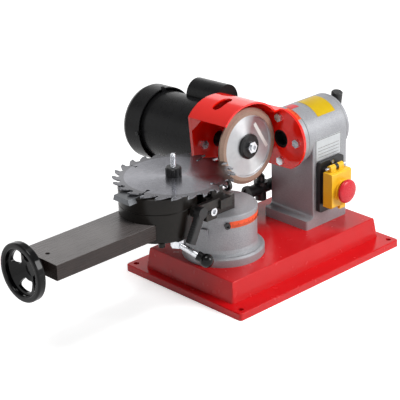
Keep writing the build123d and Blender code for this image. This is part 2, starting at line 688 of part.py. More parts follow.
# Arbor nut: black knurled nut whose spigot centres the blade
spigot_radius = blade_bore / 2 - running_clearance
nut_radius = arbor_nut_diameter / 2
nut_hole = hole(arbor_stud_diameter)
nut_top = nut_bottom + arbor_nut_height
arbor_nut = turned("z", (arbor_x, arm_y), [
    (nut_hole, flange_top + 0.1), (spigot_radius, flange_top + 0.1), (spigot_radius, nut_bottom),
    (nut_radius, nut_bottom), (nut_radius, nut_top - 2), (nut_radius - 2, nut_top), (nut_hole, nut_top)])
for step in range(12):
    angle = radians(step * 30)
    flute = (arbor_x + (nut_radius + 0.8) * cos(angle), arm_y + (nut_radius + 0.8) * sin(angle))
    arbor_nut -= rod("z", flute, nut_bottom + 2, nut_top + 1, 1.6)
nodes["arbor_nut"] = arbor_nut

# Saw blade: steel disc with hooked teeth and four expansion slots
tip_radius = blade_diameter / 2
root_radius = tip_radius - tooth_depth
pitch = 360 / blade_teeth


def polar(angle, radius):
    """Point of the blade's outline, about its centre."""
    return (radius * cos(radians(angle)), radius * sin(radians(angle)))


outline = []
for tooth in range(blade_teeth):
    start = tooth * pitch
    tip = polar(start, tip_radius)
    land = polar(start + 0.28 * pitch, tip_radius - 0.12 * tooth_depth)
    heel = polar(start + 0.66 * pitch, root_radius + 0.32 * tooth_depth)
    gullet = polar(start + 0.88 * pitch, root_radius)
    face_foot = polar(start + 1.1 * pitch, root_radius + 0.3 * tooth_depth)
    outline.append(Line(tip, land))
    outline.append(Line(land, heel))
    outline.append(ThreePointArc(heel, gullet, face_foot))
    outline.append(Line(face_foot, polar(start + pitch, tip_radius)))
blade = extrude(make_face(outline), blade_thickness, dir=(0, 0, 1))
blade -= Cylinder(blade_bore / 2, 4 * blade_thickness)
slot_length = root_radius * 0.16
expansion_slot = Pos(root_radius - slot_length / 2 + 2, 0, 0) * Box(slot_length + 6, 1.8, 8)
expansion_slot += Pos(root_radius - slot_length, 0, 0) * Cylinder(3, 8)
for quarter in range(4):
    blade -= Rot(0, 0, 0.88 * pitch + quarter * 90) * expansion_slot
nodes["saw_blade"] = Pos(arbor_x, arm_y, blade_bottom) * blade

# Swivel drum: grey disc between the headstock and the side plate
tilt_at = (0, axis_z)
drum_radius = drum_diameter / 2
groove_left = drum_right - drum_groove_width
drum = rod("x", tilt_at, drum_left, groove_left, drum_radius)
drum = chamfer(drum.edges().sort_by(Axis.X)[0], 1)
drum = chamfer(drum.edges().sort_by(Axis.X)[-1], 0.6)
drum += rod("x", tilt_at, groove_left - 1, drum_right, drum_radius - drum_groove_depth)
drum -= rod("x", tilt_at, drum_left - 1, drum_right + 1, hole(tilt_shaft_diameter))
plate_bolt_radius = plate_bolt_circle / 2
plate_bolt_places = [(plate_bolt_radius * cos(radians(a)), axis_z + plate_bolt_radius * sin(radians(a)))
                     for a in (0, 90, 180, 270)]
for place in plate_bolt_places:
    drum -= rod("x", place, drum_left - 1, drum_right - 2, hole(frame_bolt_diameter))
nodes["swivel_drum"] = tilted(drum)

# Tilt shaft: steel, from the side plate through the barrel to the clamp lever's stud
shaft = rod("x", tilt_at, plate_left + 2, cap_right - 1, tilt_shaft_diameter / 2)
lever_left = cap_right + 3
lever_right = lever_left + tilt_hub_length
shaft += rod("x", tilt_at, cap_right - 2, lever_right + 2, tilt_stud_diameter / 2)
shaft -= rod("x", tilt_at, plate_left + 1, plate_left + 14, tilt_shaft_diameter * 0.38)
nodes["tilt_shaft"] = tilted(shaft)

# Tilt clamp lever: dark hub on the stud with an upright handle
grip_radius = tilt_handle_diameter / 2
grip_foot = tilt_handle_length * 0.07
clamp_lever = rod("x", tilt_at, lever_left, lever_right, tilt_stud_diameter / 2 + 4)
grip = turned("z", (0, 0), [
    (0, grip_foot), (grip_radius * 0.62, grip_foot), (grip_radius * 0.75, tilt_handle_length * 0.25),
    (grip_radius, tilt_handle_length * 0.5), (grip_radius, tilt_handle_length - 1.5),
    (grip_radius - 1.5, tilt_handle_length), (0, tilt_handle_length)])
clamp_lever += Pos((lever_left + lever_right) / 2, 0, axis_z) * Rot(11, 0, 0) * grip
clamp_lever -= rod("x", tilt_at, lever_left - 1, lever_right + 1, hole(tilt_stud_diameter))
nodes["tilt_clamp_lever"] = tilted(clamp_lever)

# Head bracket: red side plate with a round front, and a back plate that carries the motor
plate_radius = plate_diameter / 2
plate_bottom = axis_z - plate_flat_drop
motor_at = (motor_x, motor_z)
hood_x = motor_x - hood_centre_left
hood_z = motor_z + hood_centre_up


def upright_face(y, *points):
    """Face in the plane at y from points (x, z)."""
    return make_face(Polyline(*[(x, y, z) for x, z in points], close=True))


hood_at = (hood_x, hood_z)
hood_top = hood_z + hood_radius
hood_left_x = hood_x + hood_radius * cos(radians(hood_left_angle))
hood_left_z = hood_z + hood_radius * sin(radians(hood_left_angle))
right_x = hood_x + hood_top_width
right_z = hood_top - hood_right_radius
right_at = (right_x, right_z)
flange_top = axis_z + plate_radius
hood_right_angle = degrees(asin((flange_top - right_z) / hood_right_radius))
valley_x = right_x + hood_right_radius * cos(radians(hood_right_angle))
left_sector = wedge("y", hood_at, hood_front, back_plate_rear, 90, hood_left_angle)
right_sector = wedge("y", right_at, hood_front, back_plate_rear, hood_right_angle, 90)
side_plate = rod("x", tilt_at, plate_left, drum_left, plate_radius)
side_plate += block((plate_left, drum_left), (0, back_plate_rear), (plate_bottom, flange_top))
side_plate -= block((plate_left - 1, drum_left + 1), (-plate_radius - 1, back_plate_rear + 1),
                    (plate_bottom - 60, plate_bottom))
back_face = upright_face(
    back_plate_distance, (hood_left_x, hood_left_z), (hood_left_x + 4, plate_bottom),
    (drum_left, plate_bottom), (drum_left, flange_top), (valley_x, flange_top), right_at, hood_at)
back_plate = extrude(back_face, back_plate_thickness, dir=(0, 1, 0))
back_plate += rod("y", hood_at, back_plate_distance, back_plate_rear, hood_radius) & left_sector
back_plate += rod("y", right_at, back_plate_distance, back_plate_rear, hood_right_radius) & right_sector
back_plate += block((hood_x, right_x), (back_plate_distance, back_plate_rear), (right_z, hood_top))
boss_radius = spindle_diameter / 2 + 5.5
back_plate -= rod("y", motor_at, back_plate_distance - 1, back_plate_rear + 1, boss_radius + 0.5)
head_bracket = side_plate + back_plate
head_bracket -= rod("x", tilt_at, plate_left - 1, drum_left + 1, hole(tilt_shaft_diameter))
bolt_room = frame_bolt_diameter / 2 + 0.5
head_bolts = []
for place in plate_bolt_places:
    head_bracket -= rod("x", place, plate_left - 1, drum_left + 1, bolt_room)
    bolt = hex_bolt(frame_bolt_diameter, plate_thickness + drum_thickness - 4)
    head_bolts.append(tilted(Pos(plate_left, place[0], place[1]) * Rot(0, 90, 0) * bolt))
motor_bolt_radius = motor_bolt_circle / 2
motor_bolt_places = [(motor_x + motor_bolt_radius * cos(radians(a)),
                      motor_z + motor_bolt_radius * sin(radians(a))) for a in (0, 90, 180, 270)]
for place in motor_bolt_places:
    head_bracket -= rod("y", place, back_plate_distance - 1, back_plate_rear + 1, bolt_room)
    bolt = hex_bolt(frame_bolt_diameter, back_plate_thickness + motor_wall + 1)
    head_bolts.append(tilted(Pos(place[0], back_plate_distance, place[1]) * Rot(-90, 0, 0) * bolt))
nodes["head_bracket"] = tilted(head_bracket)
nodes["head_bolts"] = head_bolts

# Wheel hood: red sheet bent over the wheel, with a flat flange at the side plate, welded between the
# two plates, with a slot on top
hood_depth = (hood_front, back_plate_distance)
hood_inner = hood_radius - hood_thickness
right_inner = hood_right_radius - hood_thickness
flange_start = right_x + right_inner * cos(radians(hood_right_angle))
hood = tube("y", hood_at, *hood_depth, hood_inner, hood_radius) & left_sector
hood += tube("y", right_at, *hood_depth, right_inner, hood_right_radius) & right_sector
hood += block((hood_x, right_x), hood_depth, (hood_top - hood_thickness, hood_top))
hood += block((flange_start, plate_left), hood_depth, (flange_top - hood_thickness, flange_top))
slot_middle = hood_front + hood_slot_set
slot_half = hood_slot_width / 2
slot_front = slot_middle - slot_half
slot_rear = slot_middle + slot_half
slot_ring = tube("y", hood_at, slot_front, slot_rear, hood_radius - 9, hood_radius + 5)
hood -= slot_ring & wedge("y", hood_at, slot_front, slot_rear, hood_slot_start, hood_slot_end)
for angle in (hood_slot_start, hood_slot_end):
    radial = Pos(hood_x, slot_middle, hood_z) * Rot(0, 90 - angle, 0)
    hood -= radial * Pos(0, 0, hood_radius - 2) * Cylinder(slot_half, 14)
gusset_x = hood_left_x + 0.6
gusset_face = make_face(Polyline(
    (gusset_x, back_plate_distance, hood_left_z), (gusset_x, back_plate_distance - 23, hood_left_z - 1),
    (gusset_x, back_plate_distance, hood_left_z - 22), close=True))
hood += extrude(gusset_face, hood_thickness, dir=(1, 0, 0))
nodes["wheel_hood"] = tilted(hood)

# Motor front bell: black casting with a boss through the back plate and a bearing seat
seat = bearing_diameter / 2
spindle_room = spindle_diameter / 2 + 1
front = back_plate_rear
shell_inner = motor_radius - motor_wall
front_bell = turned("y", motor_at, [
    (spindle_room, boss_front), (boss_radius, boss_front), (boss_radius, front), (motor_radius - 2, front),
    (motor_radius, front + 2), (motor_radius, front + 9), (shell_inner - 2, front + 9),
    (shell_inner - 2, front + motor_wall + 2), (seat + 5, front + motor_wall + 2),
    (seat + 5, front + bell_depth), (seat, front + bell_depth), (seat, front + motor_wall),
    (spindle_room, front + motor_wall)])
for place in motor_bolt_places:
    front_bell -= rod("y", place, front - 1, front + motor_wall + 1.5, hole(frame_bolt_diameter))
nodes["motor_front_bell"] = tilted(front_bell)

# Motor shell: black rolled tube between the two bells
shell = tube("y", motor_at, front + 9, motor_rear - 9, shell_inner, motor_radius)
nodes["motor_shell"] = tilted(shell)

# Motor rear bell: black casting with the rear bearing's seat and four pads for the fan cover
rear = motor_rear
rear_bell = turned("y", motor_at, [
    (spindle_room, rear), (motor_radius - 2, rear), (motor_radius, rear - 2), (motor_radius, rear - 9),
    (shell_inner - 2, rear - 9), (shell_inner - 2, rear - motor_wall - 2),
    (seat + 5, rear - motor_wall - 2), (seat + 5, rear - bell_depth), (seat, rear - bell_depth),
    (seat, rear - motor_wall), (spindle_room, rear - motor_wall)])
cover_inner = fan_cover_radius - 2
pad_y = fan_cover_front + 3
cover_screws = []
fan_cover = turned("y", motor_at, [
    (0, fan_cover_rear), (fan_cover_radius - 8, fan_cover_rear),
    (fan_cover_radius - 2.4, fan_cover_rear - 2.4), (fan_cover_radius, fan_cover_rear - 8),
    (fan_cover_radius, fan_cover_front), (cover_inner, fan_cover_front), (cover_inner, fan_cover_rear - 8),
    (cover_inner - 2.4, fan_cover_rear - 4), (fan_cover_radius - 9, fan_cover_rear - 2),
    (0, fan_cover_rear - 2)])
pad_height = cover_inner - motor_radius + 2
for angle in (0, 90, 180, 270):
    outward = Pos(motor_x, pad_y, motor_z) * Rot(0, 90 - angle, 0)
    pad = outward * Pos(0, 0, (motor_radius + cover_inner) / 2 - 1) * Box(9, 5.4, pad_height)
    tapped = outward * Pos(0, 0, cover_inner - 3) * Cylinder(hole(3), 12)
    pad &= rod("y", motor_at, pad_y - 4, pad_y + 4, cover_inner)
    rear_bell = rear_bell + pad - tapped
    fan_cover -= outward * Pos(0, 0, fan_cover_radius) * Cylinder(1.8, 14)
    screw = outward * Pos(0, 0, fan_cover_radius) * Rot(180, 0, 0) * socket_screw(3, 7, 6.4, 2.4)
    cover_screws.append(tilted(screw))
for ring, count in ((16, 8), (28, 14), (40, 20)):
    for step in range(count):
        angle = radians(360 * step / count)
        place = (motor_x + ring * cos(angle), motor_z + ring * sin(angle))
        fan_cover -= rod("y", place, fan_cover_rear - 4, fan_cover_rear + 1, 3.4)
nodes["motor_rear_bell"] = tilted(rear_bell)
nodes["fan_cover"] = tilted(fan_cover)
nodes["fan_cover_screws"] = cover_screws

# Stator: laminated ring with a copper winding at each end
stator_inner = rotor_diameter / 2 + air_gap
stator = tube("y", motor_at, stator_front, stator_rear, stator_inner, shell_inner)
windings = [tube("y", motor_at, stator_front - 9, stator_front, stator_inner + 4, shell_inner - 5),
            tube("y", motor_at, stator_rear, stator_rear + 9, stator_inner + 4, shell_inner - 5)]
nodes["stator"] = [tilted(piece) for piece in [stator] + windings]

# Motor bearings: one in each bell
bearing_bore = hole(spindle_diameter)
bearing_outer = seat - running_clearance
nodes["motor_bearings"] = [
    tilted(tube("y", motor_at, front + motor_wall, front + bell_depth, bearing_bore, bearing_outer)),
    tilted(tube("y", motor_at, rear - bell_depth, rear - motor_wall, bearing_bore, bearing_outer))]

# Motor shaft, rotor and cooling fan
wheel_back = wheel_face_distance + wheel_thickness
spindle_front = wheel_back + 4
spindle_rear = fan_cover_rear - 9
thread_end = spindle_front + 18
motor_shaft = rod("y", motor_at, spindle_front, spindle_rear, spindle_diameter / 2)
motor_shaft -= rod("y", motor_at, spindle_front - 1, thread_end + 1, hole(wheel_screw_diameter))
nodes["motor_shaft"] = tilted(motor_shaft)
rotor = tube("y", motor_at, stator_front, stator_rear, hole(spindle_diameter), rotor_diameter / 2)
nodes["rotor"] = tilted(rotor)
fan_front = motor_rear + 5
fan_rear = fan_front + fan_width
fan_hub = fan_hub_diameter / 2
fan_reach = cover_inner - 8
fan = tube("y", motor_at, fan_front, fan_rear, hole(spindle_diameter), fan_hub)
fan += tube("y", motor_at, fan_front, fan_front + 2.5, fan_hub - 1, fan_reach)
vane = block((fan_hub - 1, fan_reach), (fan_front + 1, fan_rear), (-1.2, 1.2))
for step in range(fan_vanes):
    fan += Pos(motor_x, 0, motor_z) * Rot(0, 360 / fan_vanes * step, 0) * vane
nodes["cooling_fan"] = tilted(fan)

# Wheel flange: black sleeve on the shaft's nose with the seat and spigot for the wheel
spigot = wheel_bore / 2 - running_clearance
screw_room = wheel_screw_diameter / 2 + 0.2
recess = wheel_face_distance + 2
sleeve_end = wheel_back + sleeve_length
flange_hub = turned("y", motor_at, [
    (screw_room, recess + 1), (spigot, recess + 1), (spigot, wheel_back),
    (flange_seat_diameter / 2, wheel_back), (flange_seat_diameter / 2, wheel_back + sleeve_length * 0.2),
    (sleeve_diameter / 2, wheel_back + sleeve_length * 0.38), (sleeve_diameter / 2, sleeve_end),
    (hole(spindle_diameter), sleeve_end), (hole(spindle_diameter), spindle_front - 0.1),
    (screw_room, spindle_front - 0.1)])
nodes["wheel_flange"] = tilted(flange_hub)

# Wheel body and abrasive rim: aluminium dish with a bonded ring, bevelled outside
wheel_outer_radius = wheel_diameter / 2
rim_seat = wheel_outer_radius - wheel_rim_width
wheel_body = turned("y", motor_at, [
    (wheel_bore / 2, recess), (rim_seat - 2.5, recess), (rim_seat - 2, wheel_face_distance + 0.4),
    (rim_seat, wheel_face_distance + 0.4), (rim_seat, wheel_back - 2), (rim_seat - 16, wheel_back),
    (wheel_bore / 2, wheel_back)])
nodes["wheel_body"] = tilted(wheel_body)
abrasive = turned("y", motor_at, [
    (rim_seat, wheel_face_distance), (rim_seat + 6, wheel_face_distance),
    (wheel_outer_radius, wheel_face_distance + 4), (wheel_outer_radius, wheel_face_distance + 6.5),
    (rim_seat + 3, wheel_back - 2), (rim_seat, wheel_back - 2)])
nodes["abrasive_rim"] = tilted(abrasive)

# Wheel washer and screw: thick dark washer and a bright screw with a hexagon collar, into the shaft
washer_front = recess - washer_thickness
washer = turned("y", motor_at, [
    (screw_room, washer_front), (washer_diameter / 2 - 3, washer_front),
    (washer_diameter / 2, washer_front + 2.5), (washer_diameter / 2, recess), (screw_room, recess)])
nodes["wheel_washer"] = tilted(washer)
wheel_screw = socket_screw(wheel_screw_diameter, thread_end - washer_front, wheel_screw_head,
                           wheel_screw_reach)
collar = RegularPolygon(wheel_nut_across / 2, 6, major_radius=False)
wheel_screw += Pos(0, 0, -wheel_nut_height) * extrude(collar, wheel_nut_height)
nodes["wheel_screw"] = tilted(Pos(motor_x, washer_front, motor_z) * Rot(-90, 0, 0) * wheel_screw)

# Capacitor cover and capacitor: black stadium-shaped cover on the motor's top
cover_front = back_plate_rear + 2
cover_end = cover_front + capacitor_cover_length
cover_x = motor_x + capacitor_offset
cover_z = motor_z + capacitor_rise


def capacitor_hull(radius, start, end):
    """Round-topped box standing on the motor."""
    upper = rod("y", (cover_x, cover_z), start, end, radius)
    return upper + block((cover_x - radius, cover_x + radius), (start, end), (motor_z + 20, cover_z))


cover = capacitor_hull(capacitor_cover_radius, cover_front, cover_end)
cover -= capacitor_hull(capacitor_cover_radius - 2, cover_front + 2, cover_end - 2)
cover -= rod("y", motor_at, cover_front - 1, cover_end + 1, motor_radius)
nodes["capacitor_cover"] = tilted(cover)
can_radius = capacitor_diameter / 2
can_z = motor_z + sqrt((motor_radius + can_radius + 0.2) ** 2 - capacitor_offset ** 2)
nodes["capacitor"] = tilted(rod("y", (cover_x, can_z), cover_front + 2, cover_end - 4, can_radius))

# Terminal box: black box on the motor's side with a gland towards the front
terminal_front = back_plate_rear + 36
terminal_right = motor_x + motor_radius + terminal_reach
terminal = block((motor_x + 30, terminal_right), (terminal_front, terminal_front + terminal_width),
                 (motor_z - terminal_width / 2, motor_z + terminal_width / 2))
terminal = fillet(terminal.edges().filter_by(Axis.X), 4)
terminal -= rod("y", motor_at, terminal_front - 1, terminal_front + terminal_width + 1, motor_radius)
terminal_gland_x = terminal_right - gland_diameter / 2 - 2
gland_z = motor_z - 9
gland_mouth = terminal_front - gland_length
terminal += rod("y", (terminal_gland_x, gland_z), gland_mouth, terminal_front + 1, gland_diameter / 2)
nodes["terminal_box"] = tilted(terminal)

# Lead elbow and gland: black moulded fitting behind the column, its nipple through the column's wall
elbow_radius = elbow_diameter / 2
elbow_left = elbow_x - elbow_reach
elbow_at = (elbow_y, elbow_z)
stem_at = (elbow_x, elbow_y)
nipple_at = (nipple_x, elbow_z)
elbow = rod("x", elbow_at, elbow_left, nipple_x + elbow_radius, elbow_radius)
elbow += rod("x", elbow_at, elbow_left, elbow_left + 6, elbow_radius + 2.5)
elbow += rod("z", stem_at, elbow_z - elbow_diameter, elbow_top, elbow_radius * 0.94)
elbow += rod("z", stem_at, elbow_top - 5, elbow_top, elbow_radius + 2)
elbow += rod("y", nipple_at, column_rear, elbow_y, nipple_diameter / 2 + 3)
elbow += rod("y", nipple_at, column_rear - casting_wall - 2, elbow_y, nipple_diameter / 2)
nodes["lead_elbow"] = elbow - rod("x", elbow_at, elbow_left - 1, elbow_left + 3, elbow_radius - 2)
gland = turned("z", stem_at, [
    (0, elbow_top), (gland_diameter / 2, elbow_top), (gland_diameter / 2, elbow_top + gland_length - 3),
    (gland_diameter / 2 - 2, elbow_top + gland_length), (0, elbow_top + gland_length)])
nodes["lead_gland"] = gland

# Motor lead: black cord from the elbow's gland to the terminal box's gland, turning
# from upright to level in four bends with three equal runs between them
lead_start = Vector(elbow_x, elbow_y, elbow_top + gland_length)
tilt = radians(head_tilt)
end_y = gland_mouth * cos(tilt) - (gland_z - axis_z) * sin(tilt)
end_z = axis_z + gland_mouth * sin(tilt) + (gland_z - axis_z) * cos(tilt)
lead_end = Vector(terminal_gland_x, end_y, end_z)
span = lead_end - lead_start
lead_slopes = [radians(22.5 * bend) for bend in (1, 2, 3)]
lead_step = 0.36 * span.Y
lead_steps = [Vector(span.X / 3, lead_step * sin(a), lead_step * cos(a)) for a in lead_slopes]
last_run = (span.Y - sum(step.Y for step in lead_steps)) / cos(tilt)
first_run = span.Z - sum(step.Z for step in lead_steps) - last_run * sin(tilt)
lead_points = [lead_start, lead_start + Vector(0, 0, first_run)]
for step in lead_steps:
    lead_points.append(lead_points[-1] + step)
lead_points.append(lead_end)
lead_runs = [after - before for before, after in zip(lead_points, lead_points[1:])]
lead_radii = []
for before, after in zip(lead_runs, lead_runs[1:]):
    turn = before.get_angle(after)
    lead_radii.append(0.48 * min(before.length, after.length * 1.2) / tan(radians(turn / 2)))
print("lead radii", [round(radius, 1) for radius in lead_radii])
lead_path = FilletPolyline(*lead_points, radius=lead_radii)
lead_section = Plane(origin=lead_path @ 0, z_dir=lead_path % 0) * Circle(lead_diameter / 2)
nodes["motor_lead"] = sweep(lead_section, lead_path)

# Switch: black box on the column with a black front, two buttons and a hinged yellow flap
switch_left = switch_x - switch_width / 2
switch_right = switch_x + switch_width / 2
switch_low = switch_z - switch_height / 2
switch_high = switch_z + switch_height / 2
front_depth = 5.0
box_front = switch_face + front_depth
switch_box = block((switch_left, switch_right), (box_front, column_front), (switch_low, switch_high))
switch_box = fillet(switch_box.edges().filter_by(Axis.Y), 4)
front_left = flap_x - flap_width / 2
front_right = flap_x + flap_width / 2
flap_low = switch_z - flap_height / 2 - 1
flap_high = flap_low + flap_height
switch_front = block((front_left + 2, front_right - 2), (switch_face, box_front), (flap_low + 2, hinge_z - 1))
knuckle_radius = flap_pin_diameter / 2 + 2.5
middle_half = flap_width * 0.07
knuckle = rod("x", (hinge_y, hinge_z), flap_x - middle_half, flap_x + middle_half, knuckle_radius)
knuckle += block((flap_x - middle_half, flap_x + middle_half), (hinge_y, box_front),
                 (hinge_z - knuckle_radius, hinge_z - 1))
switch_front += knuckle
switch_front -= rod("x", (hinge_y, hinge_z), front_left, front_right, hole(flap_pin_diameter))
button_places = {"start_button": switch_z + 14, "stop_button": switch_z - 6}
button_face = switch_face - button_travel - 4
button_hole = hole(button_diameter)
for name, button_z in button_places.items():
    button_at = (switch_x, button_z)
    switch_front -= rod("y", button_at, switch_face - 1, box_front + 1, button_hole)
    switch_box -= rod("y", button_at, box_front - 1, box_front + button_travel + 1, button_hole)
    button = rod("y", button_at, button_face, box_front, button_diameter / 2)
    nodes[name] = chamfer(button.edges().sort_by(Axis.Y)[0], 0.8)
switch_screw_places = [(switch_x, switch_low + 5), (switch_x, switch_high - 5)]
switch_screws = []
for place in switch_screw_places:
    switch_box -= rod("y", place, box_front - 1, column_front + 1, hole(switch_screw_diameter))
    screw = socket_screw(switch_screw_diameter, column_front - box_front, switch_screw_diameter * 1.7, 2.4)
    switch_screws.append(Pos(place[0], box_front, place[1]) * Rot(-90, 0, 0) * screw)
nodes["switch_box"] = switch_box
nodes["switch_front"] = switch_front
nodes["switch_screws"] = switch_screws
nodes["flap_pin"] = rod("x", (hinge_y, hinge_z), front_left + 1, front_right - 1, flap_pin_diameter / 2)

# Switch flap: yellow cover, hollow behind, hinged at its top and carrying the mushroom button
flap = block((front_left, front_right), (flap_front, flap_back), (flap_low, flap_high))
flap = fillet(flap.edges().filter_by(Axis.X).sort_by(Axis.Y)[:2], 3)
flap -= block((front_left + flap_wall, front_right - flap_wall), (flap_front + flap_wall, flap_back + 1),
              (flap_low + flap_wall, flap_high - flap_wall))
ear_inner = middle_half + slide_clearance
for side in (-1, 1):
    ear_x = sorted((flap_x + side * ear_inner, flap_x + side * (ear_inner + 12)))
    flap += rod("x", (hinge_y, hinge_z), ear_x[0], ear_x[1], knuckle_radius)
    flap += block(ear_x, (hinge_y - knuckle_radius, hinge_y + 2), (flap_high - 1, hinge_z))
flap += block((switch_x - 7, switch_x + 7), (flap_front, flap_front + 5), (flap_low - 5, flap_low + 1))
mushroom_z = switch_z - mushroom_drop
mushroom_at = (switch_x, mushroom_z)
dome_radius = mushroom_diameter / 2
collar_front = flap_front - mushroom_collar
flap += rod("y", mushroom_at, collar_front, flap_front + 1, dome_radius * 0.9)
flap -= rod("y", mushroom_at, collar_front - 1, flap_front + flap_wall + 1, hole(mushroom_stem_diameter))
flap -= rod("x", (hinge_y, hinge_z), front_left - 1, front_right + 1, hole(flap_pin_diameter))
nodes["switch_flap"] = flap

# Mushroom button: red dome on a stem through the flap, in front of the stop button
dome_back = collar_front - button_travel - 0.5
stem_radius = mushroom_stem_diameter / 2
mushroom = turned("y", mushroom_at, [
    (0, dome_back - 8), (dome_radius * 0.6, dome_back - 7.4), (dome_radius * 0.9, dome_back - 5.4),
    (dome_radius, dome_back - 3), (dome_radius, dome_back), (stem_radius, dome_back),
    (stem_radius, flap_front + flap_wall + 0.5), (stem_radius + 1.6, flap_front + flap_wall + 0.5),
    (stem_radius + 1.6, flap_front + flap_wall + 2), (0, flap_front + flap_wall + 2)])
nodes["mushroom_button"] = mushroom

# One file per node
os.makedirs("parts", exist_ok=True)
for name, shape in nodes.items():
    pieces = shape if isinstance(shape, list) else [shape]
    solids = [solid for piece in pieces for solid in piece.solids()]
    export_step(Compound(children=solids), f"parts/{name}.step")
print(len(nodes), "nodes written")
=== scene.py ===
import bpy
import numpy as np
from mathutils import Matrix, Vector


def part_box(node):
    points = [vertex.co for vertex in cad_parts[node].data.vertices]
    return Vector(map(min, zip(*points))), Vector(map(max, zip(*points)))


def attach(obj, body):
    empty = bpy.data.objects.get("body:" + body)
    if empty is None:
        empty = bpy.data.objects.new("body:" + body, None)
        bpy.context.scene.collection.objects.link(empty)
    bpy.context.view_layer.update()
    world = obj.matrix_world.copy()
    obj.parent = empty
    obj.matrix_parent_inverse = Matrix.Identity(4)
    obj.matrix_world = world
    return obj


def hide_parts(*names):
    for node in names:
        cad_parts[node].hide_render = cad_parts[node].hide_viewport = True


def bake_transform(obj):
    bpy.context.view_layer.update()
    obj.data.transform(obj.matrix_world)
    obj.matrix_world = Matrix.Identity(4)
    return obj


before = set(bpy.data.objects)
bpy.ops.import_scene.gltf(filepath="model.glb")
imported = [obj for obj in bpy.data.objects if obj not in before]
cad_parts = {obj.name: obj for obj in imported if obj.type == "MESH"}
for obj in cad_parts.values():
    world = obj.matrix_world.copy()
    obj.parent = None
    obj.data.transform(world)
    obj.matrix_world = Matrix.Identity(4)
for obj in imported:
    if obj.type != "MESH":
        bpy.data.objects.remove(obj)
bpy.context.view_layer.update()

# Base: one iron casting, a hollow box on a flange with four bench bolt holes.
# It is sprayed with a thick red enamel that flows a little before it dries, so the
# broad faces are glossy with a faint orange peel over the casting's slow waves.


def linear(hex_colour):
    """Linear red, green, blue and alpha of an sRGB hex colour, by the sRGB curve."""
    srgb = np.array([int(hex_colour[i:i + 2], 16) for i in (1, 3, 5)]) / 255
    low = srgb / 12.92
    high = ((srgb + 0.055) / 1.055) ** 2.4
    return tuple(np.where(srgb <= 0.04045, low, high)) + (1.0,)


def add(material, kind, inputs=None, **settings):
    """Adds a node of that kind, with its settings, and sets or links its inputs."""
    node = material.node_tree.nodes.new(kind)
    for name, value in settings.items():
        setattr(node, name, value)
    for socket, value in (inputs or {}).items():
        if isinstance(value, bpy.types.NodeSocket):
            material.node_tree.links.new(value, node.inputs[socket])
        else:
            node.inputs[socket].default_value = value
    return node


def start_finish(name):
    """An empty node material, and its Object coordinates in metres."""
    material = bpy.data.materials.new(name)
    material.use_nodes = True
    material.node_tree.nodes.clear()
    return material, add(material, "ShaderNodeTexCoord").outputs["Object"]


def end_finish(material, **inputs):
    """Ends a material with its surface shader, whose inputs are given by name."""
    named = {key.replace("_", " "): value for key, value in inputs.items()}
    shader = add(material, "ShaderNodeBsdfPrincipled", named)
    add(material, "ShaderNodeOutputMaterial", {"Surface": shader.outputs["BSDF"]})
    return material


def grain(size_mm):
    """Texture scale of a pattern whose grains are that many millimetres wide."""
    return 1000.0 / size_mm


def patches(material, place, size_mm, detail):
    """A smooth random value, mostly from 0.3 to 0.7, in patches that are size_mm wide."""
    noise = add(material, "ShaderNodeTexNoise", {
        "Vector": place, "Scale": grain(size_mm), "Detail": detail})
    return noise.outputs["Fac"]


def stretched(material, value, start, end, first=0.0, last=1.0):
    """A value drawn out so that start becomes first and end becomes last."""
    drawn = add(material, "ShaderNodeMapRange", {
        "Value": value, "From Min": start, "From Max": end, "To Min": first, "To Max": last})
    return drawn.outputs["Result"]


def mixed(material, share, first, second):
    """A colour that goes from first to second while share goes from 0 to 1."""
    mix = add(material, "ShaderNodeMix", {
        "Factor": share, "A": first, "B": second}, data_type="RGBA")
    return mix.outputs["Result"]


def shaded(material, pattern, shades, start=0.3, end=0.7):
    """Two sRGB shades, mixed while a pattern goes from start to end."""
    share = stretched(material, pattern, start, end)
    return mixed(material, share, linear(shades[0]), linear(shades[1]))


def roughened(material, pattern, gloss):
    """Roughness from the first to the second value in gloss, by a pattern of patches."""
    return stretched(material, pattern, 0.3, 0.7, *gloss)


def relief(material, pattern, strength, depth_mm, under=None):
    """Surface directions of a pattern that is depth_mm deep, over the relief under it."""
    inputs = {"Height": pattern, "Strength": strength, "Distance": depth_mm / 1000}
    if under is not None:
        inputs["Normal"] = under
    return add(material, "ShaderNodeBump", inputs).outputs["Normal"]


def sprayed_enamel(name, shades, peel_mm, peel_depth_mm, gloss, metallic=0.0, shine=0.3,
                   flake=0.0):
    """Sprayed paint: two shades drift over the piece, and the dried film has a peel.

    flake is how much lighter or darker the metal flakes in a silver paint are."""
    material, place = start_finish(name)
    drift = patches(material, place, 45, 3.0)
    peel = patches(material, place, peel_mm, 2.0)
    waves = patches(material, place, peel_mm * 7, 2.0)
    flecks = add(material, "ShaderNodeTexVoronoi", {"Vector": place, "Scale": grain(0.7)})
    fleck = add(material, "ShaderNodeSeparateColor", {"Color": flecks.outputs["Color"]})
    level = stretched(material, fleck.outputs["Red"], 0.0, 1.0, 1.0 - flake, 1.0 + flake)
    tint = add(material, "ShaderNodeVectorMath", {
        0: shaded(material, drift, shades), "Scale": level}, operation="SCALE")
    slow = relief(material, waves, 0.15, peel_depth_mm * 3)
    film = relief(material, peel, 0.35, peel_depth_mm, under=slow)
    return end_finish(material, Base_Color=tint.outputs["Vector"],
                      Roughness=roughened(material, waves, gloss), Normal=film,
                      Metallic=metallic, Specular_IOR_Level=shine)


def finish_with(material, *nodes):
    """Gives CAD nodes a finish in place of their plain colour."""
    for node in nodes:
        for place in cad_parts[node].material_slots:
            place.material = material


red_cast_enamel = sprayed_enamel(
    "red_enamel_on_cast_iron", ("#CC1218", "#D3151B"), peel_mm=2.2, peel_depth_mm=0.025,
    gloss=(0.18, 0.28), shine=0.28)
finish_with(red_cast_enamel, "base")

